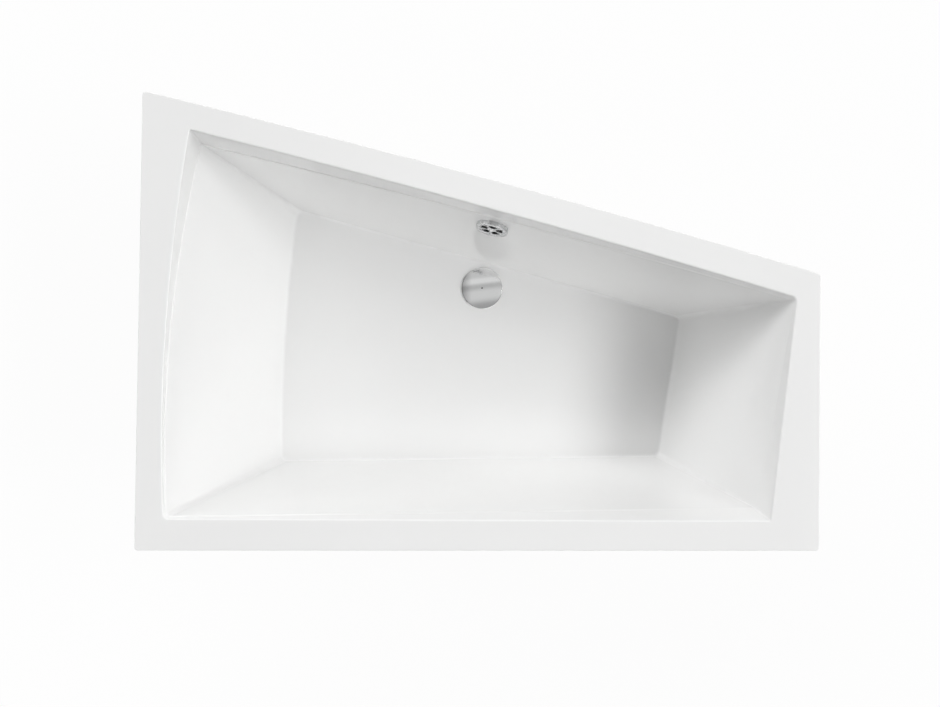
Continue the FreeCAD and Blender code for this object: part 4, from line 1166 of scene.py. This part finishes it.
class Fastener:
    """Details that the screws share."""

    HEAD_TAPER = 0.86
    RECESS_TAPER = 0.9
    RECESS_REACH = 1.02

    @staticmethod
    def lobe(bm: BMesh, radius: float, top: float, depth: float = 0.22, lobes: int = 6) -> None:
        """Pull the round recess of a screw head into lobes.

        Args:
            bm: the screw's mesh, on the Z axis.
            radius: the recess's radius.
            top: height of the head's face.
            depth: how far the lobes pull in, as a share of the radius.
            lobes: number of lobes.
        """
        for vert in bm.verts:
            reach = vert.co.xy.length
            if MERGE < reach < radius * Fastener.RECESS_REACH and abs(vert.co.z - top) < radius:
                share = 1 - depth * (0.5 + 0.5 * math.cos(lobes * math.atan2(vert.co.y, vert.co.x)))
                vert.co.xy *= share


@dataclass
class ScrewFoot:
    """One screw foot: a threaded stud whose hexagon sits in a round pad."""

    corner: str
    stud_radius: float = 0.006
    thread_pitch: float = 0.00175
    thread_depth: float = 0.0009
    thread_flank: float = 0.46
    thread_steps: int = 18
    chamfer: float = 0.001
    hex_flats: float = 0.018
    hex_height: float = 0.008
    hex_round: float = 0.0006
    pad_radius: float = 0.028
    pad_top: float = 0.015
    pad_rim: float = 0.005
    pad_height: float = 0.016
    pad_round: float = 0.0012
    pad_angle: float = 25.0
    socket_flats: float = 0.0184
    socket_fit: float = 0.0004
    groove_inset: float = 0.0009
    groove_depth: float = 0.0012
    slope: Pair = (0.3, 0.95)
    slope_least: float = 8.0
    pad_steps: int = 48

    def middle(self) -> Vector:
        """Place of the foot's axis on the ground."""
        low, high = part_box("foot_pad_" + self.corner)
        return Vector(((low.x + high.x) / 2, (low.y + high.y) / 2, low.z))

    def build_stud(self) -> Object:
        """Turn the stud and wind its thread.

        Returns:
            The object.
        """
        node = "foot_stud_" + self.corner
        low, high = (corner.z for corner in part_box(node))
        root = self.stud_radius - self.thread_depth
        bm = bmesh.new()
        Mill.spun(bm, [(0, low), (root, low), (root, high - self.chamfer), (root - self.chamfer, high),
                       (0, high)], self.thread_steps)
        start = low + self.hex_height
        turns = int((high - self.chamfer - start) / self.thread_pitch) - 1
        half = self.thread_pitch * self.thread_flank
        inside = root - self.thread_depth / 3
        corners = [(inside, start), (self.stud_radius, start + half), (inside, start + 2 * half)]
        verts = [bm.verts.new((radius, 0, height)) for radius, height in corners]
        edges = [bm.edges.new((verts[i - 1], verts[i])) for i in range(len(verts))]
        bmesh.ops.contextual_create(bm, geom=edges)
        wound = bmesh.ops.spin(bm, geom=verts + edges, cent=(0, 0, 0), axis=UP,
                               dvec=(0, 0, self.thread_pitch / self.thread_steps), angle=FULL_TURN * turns,
                               steps=self.thread_steps * turns, use_merge=False, use_duplicate=False)
        last = [part for part in wound["geom_last"] if isinstance(part, BMEdge)]
        bmesh.ops.contextual_create(bm, geom=last)
        Mill.hexagon(bm, self.hex_flats, low, low + self.hex_height, self.hex_round)
        bmesh.ops.recalc_face_normals(bm, faces=bm.faces)
        place = self.middle()
        bmesh.ops.translate(bm, vec=(place.x, place.y, 0), verts=bm.verts)
        return Mill.piece("stud_" + self.corner, bm, Slot.FASTENER, "foot_" + self.corner, [node],
                          FINE_CREASE)

    def build_pad(self) -> Object:
        """Turn the pad and sink grooves into its slope.

        Returns:
            The object.
        """
        node = "foot_pad_" + self.corner
        socket = self.socket_flats / math.sqrt(3) + self.socket_fit
        floor = self.pad_height - self.hex_height
        bm = bmesh.new()
        Mill.spun(bm, [(0, 0), (self.pad_radius - self.pad_round, 0), (self.pad_radius, self.pad_round),
                       (self.pad_radius, self.pad_rim), (self.pad_top, self.pad_height),
                       (socket, self.pad_height), (socket, floor), (0, floor)], self.pad_steps)
        rims = [edge for edge in Mill.sharp(bm, self.pad_angle)
                if edge.verts[0].co.xy.length > self.pad_top - MERGE
                and all(vert.co.z > self.pad_round + MERGE for vert in edge.verts)]
        Mill.rounded(bm, rims, self.pad_round)
        slope = [face for face in bm.faces if self.slope[0] < face.normal.z < self.slope[1]
                 and face.calc_area() > self.pad_round ** 2 * self.slope_least]
        slope.sort(key=lambda face: math.atan2(*face.calc_center_median().yx))
        bmesh.ops.inset_individual(bm, faces=slope[::2], thickness=self.groove_inset,
                                   depth=-self.groove_depth)
        bmesh.ops.translate(bm, vec=self.middle(), verts=bm.verts)
        return Mill.piece("pad_" + self.corner, bm, Slot.NUT_PLASTIC, "foot_" + self.corner, [node],
                          FINE_CREASE)


@dataclass
class UnionNut:
    """A moulded union nut with grip ribs."""

    name: str
    node: str
    axis: Vector
    outer: float = 0.0215
    bore: float = 0.0152
    length: float = 0.026
    chamfer: float = 0.0018
    rib_height: float = 0.0013
    rib_inset: float = 0.0003
    rib_end: float = 0.15
    rib_zone: float = 0.98
    steps: int = 72

    def build(self) -> Object:
        """Turn the nut and raise its ribs.

        Returns:
            The object.
        """
        low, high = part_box(self.node)
        half, end = self.length / 2, self.length * (0.5 - self.rib_end)
        bm = bmesh.new()
        face = self.outer - self.chamfer
        Mill.spun(bm, [(self.bore, -half), (face, -half), (self.outer, -half + self.chamfer),
                       (self.outer, -end), (self.outer, end), (self.outer, half - self.chamfer),
                       (face, half), (self.bore, half)], self.steps, True)
        Mill.ribbed(bm, -end, end, self.outer * self.rib_zone, self.rib_inset, self.rib_height)
        turn = UP.rotation_difference(self.axis).to_matrix().to_4x4()
        bmesh.ops.transform(bm, matrix=Matrix.Translation((low + high) / 2) @ turn, verts=bm.verts)
        return Mill.piece(self.name, bm, Slot.NUT_PLASTIC, "tub", [self.node], FINE_CREASE)


@dataclass
class TrapCup:
    """The cup of the trap with a ribbed collar and a grip below."""

    drain: Vector
    along: Vector
    radius: float = 0.052
    inner: float = 0.048
    bore: float = 0.0522
    collar: float = 0.0565
    collar_rise: float = 0.021
    ledge: float = 0.003
    bottom: float = 0.004
    bottom_round: float = 0.006
    rib_height: float = 0.0011
    rib_inset: float = 0.0004
    rib_zone: float = 0.99
    grip_height: float = 0.010
    grip_width: float = 0.012
    grip_length: float = 0.060
    grip_round: float = 0.002
    steps: int = 96

    def build(self) -> Object:
        """Turn the cup, raise its ribs and set the grip.

        Returns:
            The object.
        """
        box_low, box_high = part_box("trap_cup")
        low, top = box_low.z + self.grip_height, box_high.z
        seat = top - self.collar_rise
        collar = self.collar - self.rib_height
        bm = bmesh.new()
        under, base = seat - self.ledge, low + self.bottom
        Mill.spun(bm, [(0, low), (self.radius, low), (self.radius, under), (collar, under), (collar, top),
                       (self.bore, top), (self.bore, seat), (self.inner, seat), (self.inner, base),
                       (0, base)], self.steps)
        bottom = [edge for edge in Mill.sharp(bm) if max(vert.co.z for vert in edge.verts) < low + MERGE]
        Mill.rounded(bm, bottom, self.bottom_round, segments=5)
        Mill.ribbed(bm, seat, top, collar * self.rib_zone, self.rib_inset, self.rib_height)
        size = Matrix.Diagonal((self.grip_length, self.grip_width, self.grip_height + self.bottom / 2, 1))
        lift = Matrix.Translation((0, 0, box_low.z + (self.grip_height + self.bottom / 2) / 2))
        bar = bmesh.ops.create_cube(bm, size=1.0, matrix=lift @ size)
        Mill.rounded(bm, {edge for vert in bar["verts"] for edge in vert.link_edges}, self.grip_round)
        turn = Matrix.Rotation(math.atan2(self.along.y, self.along.x), 4, "Z")
        place = Matrix.Translation((self.drain.x, self.drain.y, 0))
        bmesh.ops.transform(bm, matrix=place @ turn, verts=bm.verts)
        return Mill.piece("trap_bowl", bm, Slot.PIPE_PLASTIC, "tub", ["trap_cup"], FINE_CREASE)


@dataclass
class Carcass:
    """Board, strips, rails and their screws under the tub."""

    board_round: float = 0.0006
    strip_round: float = 0.0015
    fold_round: float = 0.0022
    nut_round: float = 0.0006
    board_edge: float = 0.012
    rail_edge: float = 0.2
    nut_edge: float = 0.005
    flat_angle: float = math.radians(0.5)
    crease: float = 32.0
    screw_from_end: float = 0.070
    screw_from_side: float = 0.010
    screw_radius: float = 0.0022
    head_radius: float = 0.0046
    head_height: float = 0.0032
    head_profile: tuple[Pair, ...] = ((0.72, 0.0), (0.93, 0.3), (1.0, 0.62), (1.0, 1.0))
    recess_radius: float = 0.0022
    recess_depth: float = 0.0016
    screw_steps: int = 24

    def soft_copy(self, name: str, node: Object, slot: Slot, width: float,
                  longer: float) -> Object:
        """A solid's shape with its long edges rounded.

        Args:
            name: the piece's name.
            node: the solid's object.
            slot: its material slot.
            width: width of the rounding.
            longer: least length of a rounded edge.

        Returns:
            The object.
        """
        bm = bmesh.new()
        bm.from_mesh(node.data)
        bmesh.ops.remove_doubles(bm, verts=bm.verts, dist=MERGE * 10)
        bmesh.ops.dissolve_limit(bm, angle_limit=self.flat_angle, use_dissolve_boundaries=False,
                                 verts=bm.verts, edges=bm.edges, delimit={"NORMAL"})
        Mill.rounded(bm, Mill.sharp(bm, longer=longer), width, clamp=True)
        bmesh.ops.dissolve_degenerate(bm, dist=MERGE, edges=bm.edges)
        return Mill.piece(name, bm, slot, "tub", [node.name], self.crease)

    def build(self, nodes: dict[str, Object]) -> None:
        """Soften the board, the strips, the rails and the nuts, and set the screws.

        Args:
            nodes: the solids' objects by name.
        """
        self.soft_copy("floor_board", nodes["base_board"], Slot.CHIPBOARD, self.board_round, self.board_edge)
        for side in ("front", "right", "back", "left"):
            strip = self.soft_copy("strip_" + side, nodes["rim_batten_" + side], Slot.BATTEN_WOOD,
                                   self.strip_round, self.board_edge)
            if side in ("right", "left"):
                strip.data.materials[0] = TIMBER_ACROSS.material()
        for side in ("left", "right"):
            self.soft_copy("rail_" + side, nodes["leg_rail_" + side], Slot.GALVANISED, self.fold_round,
                           self.rail_edge)
        for name, node in (("weld_nuts", "rail_weld_nuts"), ("lock_nuts", "foot_lock_nuts")):
            self.soft_copy(name, nodes[node], Slot.FASTENER, self.nut_round, self.nut_edge)
        self.build_screws()

    def build_screws(self) -> Object:
        """Set the screws that hold the rails to the board.

        Returns:
            The object.
        """
        low, high = (corner.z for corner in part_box("rail_screws"))
        seat, inner = low + self.head_height, low + self.recess_depth
        head = [(self.head_radius * wide, low + self.head_height * tall) for wide, tall in self.head_profile]
        bm = bmesh.new()
        Mill.spun(bm, [(0, inner), (self.recess_radius * Fastener.RECESS_TAPER, inner),
                       (self.recess_radius, low), *head, (self.screw_radius, seat),
                       (self.screw_radius, high - self.screw_radius), (0, high)], self.screw_steps)
        Fastener.lobe(bm, self.recess_radius, low)
        single = bpy.data.meshes.new("one_screw")
        bm.to_mesh(single)
        bm.clear()
        for side in ("left", "right"):
            rail_low, rail_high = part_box("leg_rail_" + side)
            for x in (rail_low.x + self.screw_from_side, rail_high.x - self.screw_from_side):
                for y in (rail_low.y + self.screw_from_end, rail_high.y - self.screw_from_end):
                    count = len(bm.verts)
                    bm.from_mesh(single)
                    bmesh.ops.translate(bm, vec=(x, y, 0), verts=bm.verts[count:])
        bpy.data.meshes.remove(single)
        return Mill.piece("board_screws", bm, Slot.FASTENER, "tub", ["rail_screws"], FINE_CREASE)


@dataclass(frozen=True)
class SoftLight:
    """One far, wide lamp of the studio, by the direction in degrees that its light comes from."""

    name: str
    azimuth: float
    elevation: float
    strength: float
    spread: float
    in_gloss: bool = True

    def build(self) -> Object:
        """Hang the lamp.

        Returns:
            The lamp's object.
        """
        data = bpy.data.lights.new(self.name, "SUN")
        data.energy, data.angle = self.strength, math.radians(self.spread)
        lamp = bpy.data.objects.new(self.name, data)
        around, above = math.radians(self.azimuth), math.radians(self.elevation)
        level = math.cos(above)
        towards = Vector((math.cos(around) * level, math.sin(around) * level, math.sin(above)))
        lamp.rotation_euler = towards.to_track_quat("Z", "Y").to_euler()
        lamp.visible_glossy = self.in_gloss
        bpy.context.scene.collection.objects.link(lamp)
        return lamp


@dataclass
class Studio:
    """Plain pale floor, soft light, a ceiling that only shows in gloss, and the camera."""

    lights: tuple[SoftLight, ...] = (
        SoftLight("window_right_front", 345, 48, 0.72, 16, False),
        SoftLight("window_right_back", 15, 48, 0.56, 16, False),
        SoftLight("sheen_right", 0, 58, 0.15, 10),
        SoftLight("window_back", 90, 42, 0.53, 24, False),
        SoftLight("window_back_left", 120, 42, 0.62, 24, False),
        SoftLight("low_back_left", 150, 22, 0.66, 24),
        SoftLight("low_back", 90, 10, 0.29, 24),
        SoftLight("low_right", 0, 10, 0.52, 24),
        SoftLight("fill_front_left", 240, 42, 0.31, 24),
        SoftLight("fill_front_right", 300, 42, 0.21, 24),
    )
    floor_size: float = 14.0
    floor_colour: Colour = (0.86, 0.86, 0.86)
    floor_glow: float = 0.95
    ambient: float = 0.08
    ceiling_height: float = 3.6
    ceiling_size: float = 4.0
    ceiling_turn: float = math.radians(-8.5)
    ceiling_bands: tuple[Pair, ...] = (
        (-0.38, 0.36), (-0.28, 0.42), (-0.19, 0.56), (-0.08, 0.645), (0.02, 0.66), (0.21, 0.65), (0.30, 0.55),
        (0.36, 0.47), (0.45, 0.47), (0.52, 0.62), (0.57, 0.75), (0.71, 0.75), (0.77, 0.63), (0.83, 0.57),
        (1.2, 0.60))
    ceiling_fade: tuple[Pair, ...] = (
        (-1.0, 0.0), (-0.8, 0.3), (-0.5, 0.5), (-0.1, 1.0), (1.5, 1.0), (1.9, 0.3))
    lens: float = 44.24
    sensor: float = 36.0
    sight: float = 100.0
    camera_place: Colour = (-0.2561, -0.1212, 3.2844)
    camera_turn: Colour = (math.radians(1.10), math.radians(-4.61), math.radians(0.71))

    def build(self) -> None:
        """Set the floor, the ceiling, the light and the camera.

        None of them belongs to the part.
        """
        self._floor()
        self._ceiling()
        self._world()
        for light in self.lights:
            light.build()
        self._camera()

    def _seen(self, board: Board) -> Wire:
        """Rays that show the background itself: from the camera, in gloss or through glass.

        Args:
            board: the nodes that ask.

        Returns:
            One on these rays, else nought.
        """
        path = board.node("ShaderNodeLightPath").outputs
        camera, gloss, glass = [Wire(board, path["Is %s Ray" % kind])
                                for kind in ("Camera", "Glossy", "Transmission")]
        return camera.most(gloss).most(glass)

    def _sheet(self, name: str, size: float, height: float) -> tuple[Object, Board]:
        """Lay one level sheet of the studio.

        Args:
            name: the sheet's name.
            size: length of its sides.
            height: height above the ground.

        Returns:
            The object and the empty node board of its paint.
        """
        bm = bmesh.new()
        bmesh.ops.create_grid(bm, x_segments=1, y_segments=1, size=size / 2,
                              matrix=Matrix.Translation((0, 0, height)))
        mesh = bpy.data.meshes.new(name)
        bm.to_mesh(mesh)
        bm.free()
        made = bpy.data.objects.new(name, mesh)
        bpy.context.scene.collection.objects.link(made)
        paint = bpy.data.materials.new(name)
        paint.use_nodes = True
        mesh.materials.append(paint)
        return made, Board(paint.node_tree)

    def _floor(self) -> None:
        """Lay the floor, nearly white to the camera, with the object's shadow on it.

        It is clear from below, so that the underside can be looked at.
        """
        board = self._sheet("studio_floor", self.floor_size, 0.0)[1]
        matt = board.wire("ShaderNodeBsdfDiffuse", {}, {"Color": (*self.floor_colour, 1)})
        glow = board.wire("ShaderNodeEmission", {}, {"Color": (1, 1, 1, 1), "Strength": 1.0})
        share = self._seen(board) * self.floor_glow
        mixed = board.wire("ShaderNodeMixShader", {}, {0: share, 1: matt, 2: glow})
        below = board.wire("ShaderNodeNewGeometry", output="Backfacing")
        clear = board.wire("ShaderNodeBsdfTransparent")
        shown = board.wire("ShaderNodeMixShader", {}, {0: below, 1: mixed, 2: clear})
        board.node("ShaderNodeOutputMaterial", {}, {"Surface": shown})

    def _ceiling(self) -> None:
        """Hang a ceiling with pale and grey bands.

        It shows in gloss alone, and lights nothing else.
        """
        ceiling, board = self._sheet("studio_ceiling", self.ceiling_size, self.ceiling_height)
        turned = board.place(turn=(0, 0, self.ceiling_turn))
        across = board.wire("ShaderNodeSeparateXYZ", {}, {0: turned}, "Y")
        along = board.wire("ShaderNodeSeparateXYZ", {}, {0: board.place()}, "X")
        bands = board.tones(across, self.ceiling_bands)
        tone = board.mix(1.0, bands, board.tones(along, self.ceiling_fade), "MULTIPLY")
        glow = board.wire("ShaderNodeEmission", {}, {"Color": tone, "Strength": 1.0})
        board.node("ShaderNodeOutputMaterial", {}, {"Surface": glow})
        ceiling.visible_camera = ceiling.visible_diffuse = ceiling.visible_shadow = False

    def _world(self) -> None:
        """Set white behind everything, and an even soft light from all round.

        The white only shows; the soft light is what falls on the object.
        """
        world = bpy.data.worlds.new("studio")
        bpy.context.scene.world = world
        world.use_nodes = True
        board = Board(world.node_tree)
        soft = board.wire("ShaderNodeBackground", {}, {"Color": (1, 1, 1, 1), "Strength": self.ambient})
        white = board.wire("ShaderNodeBackground", {}, {"Color": (1, 1, 1, 1), "Strength": 1.0})
        sky = board.wire("ShaderNodeMixShader", {}, {0: self._seen(board), 1: soft, 2: white})
        board.node("ShaderNodeOutputWorld", {}, {"Surface": sky})

    def _camera(self) -> None:
        """Set the camera at the photograph's viewing angle.

        The lens and the place were fitted to the corners of the rim.
        """
        data = bpy.data.cameras.new("camera")
        data.lens, data.sensor_width, data.clip_end = self.lens, self.sensor, self.sight
        camera = bpy.data.objects.new("camera", data)
        camera.location, camera.rotation_euler = self.camera_place, self.camera_turn
        bpy.context.scene.collection.objects.link(camera)
        bpy.context.scene.camera = camera


def joint_of(frame: dict[str, Any], name: str) -> tuple[Vector, Vector]:
    """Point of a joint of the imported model, at the origin for a slide, and its axis."""
    joint = next(row for row in frame["record"]["behaviour"]["joints"] if row["name"] == name)
    return Vector(joint.get("pos_m", (0, 0, 0))), Vector(joint["axis"]).normalized()


def dress_solids(frame: dict[str, Any]) -> None:
    """Give every solid the finish of its material slot.

    Args:
        frame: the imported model.
    """
    slots = {row["node"]: row["material_slot"] for row in frame["record"]["subparts"]}
    for name, node in frame["nodes"].items():
        node.data.materials.clear()
        node.data.materials.append(Slot[slots[name].upper()].value.material())
        LOG.info("%s: finish of slot %s", name, slots[name])


def main() -> None:
    """Load the solids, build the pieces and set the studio.

    Each class reports its pieces as it makes them.
    """
    logging.basicConfig(level=logging.INFO, format="%(name)s: %(message)s")
    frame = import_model()
    bpy.context.scene.view_settings.view_transform = "Standard"
    dress_solids(frame)
    form = TubForm()
    overflow = OverflowPlace(*joint_of(frame, "knob_turn"))
    low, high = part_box("drain_cover")
    drain = (low + high) / 2
    inlet = joint_of(frame, "cable_pull")[1]
    TubShell(form, overflow, drain).build()
    LaminateBacking(form, overflow, drain).build()
    Plug().build()
    knob = OverflowKnob(overflow)
    knob.build()
    knob.build_screw()
    TrapCup(drain, inlet).build()
    UnionNut("pipe_union_top", "pipe_nut_top", UP).build()
    UnionNut("pipe_union_low", "pipe_nut_low", inlet).build()
    UnionNut("outlet_union", "outlet_nut", -inlet, outer=0.028, bore=0.0203, length=0.028).build()
    for corner in ("front_left", "back_left", "front_right", "back_right"):
        foot = ScrewFoot(corner)
        foot.build_stud()
        foot.build_pad()
    Carcass().build(frame["nodes"])
    Studio().build()


if __name__ == "__main__":
    main()
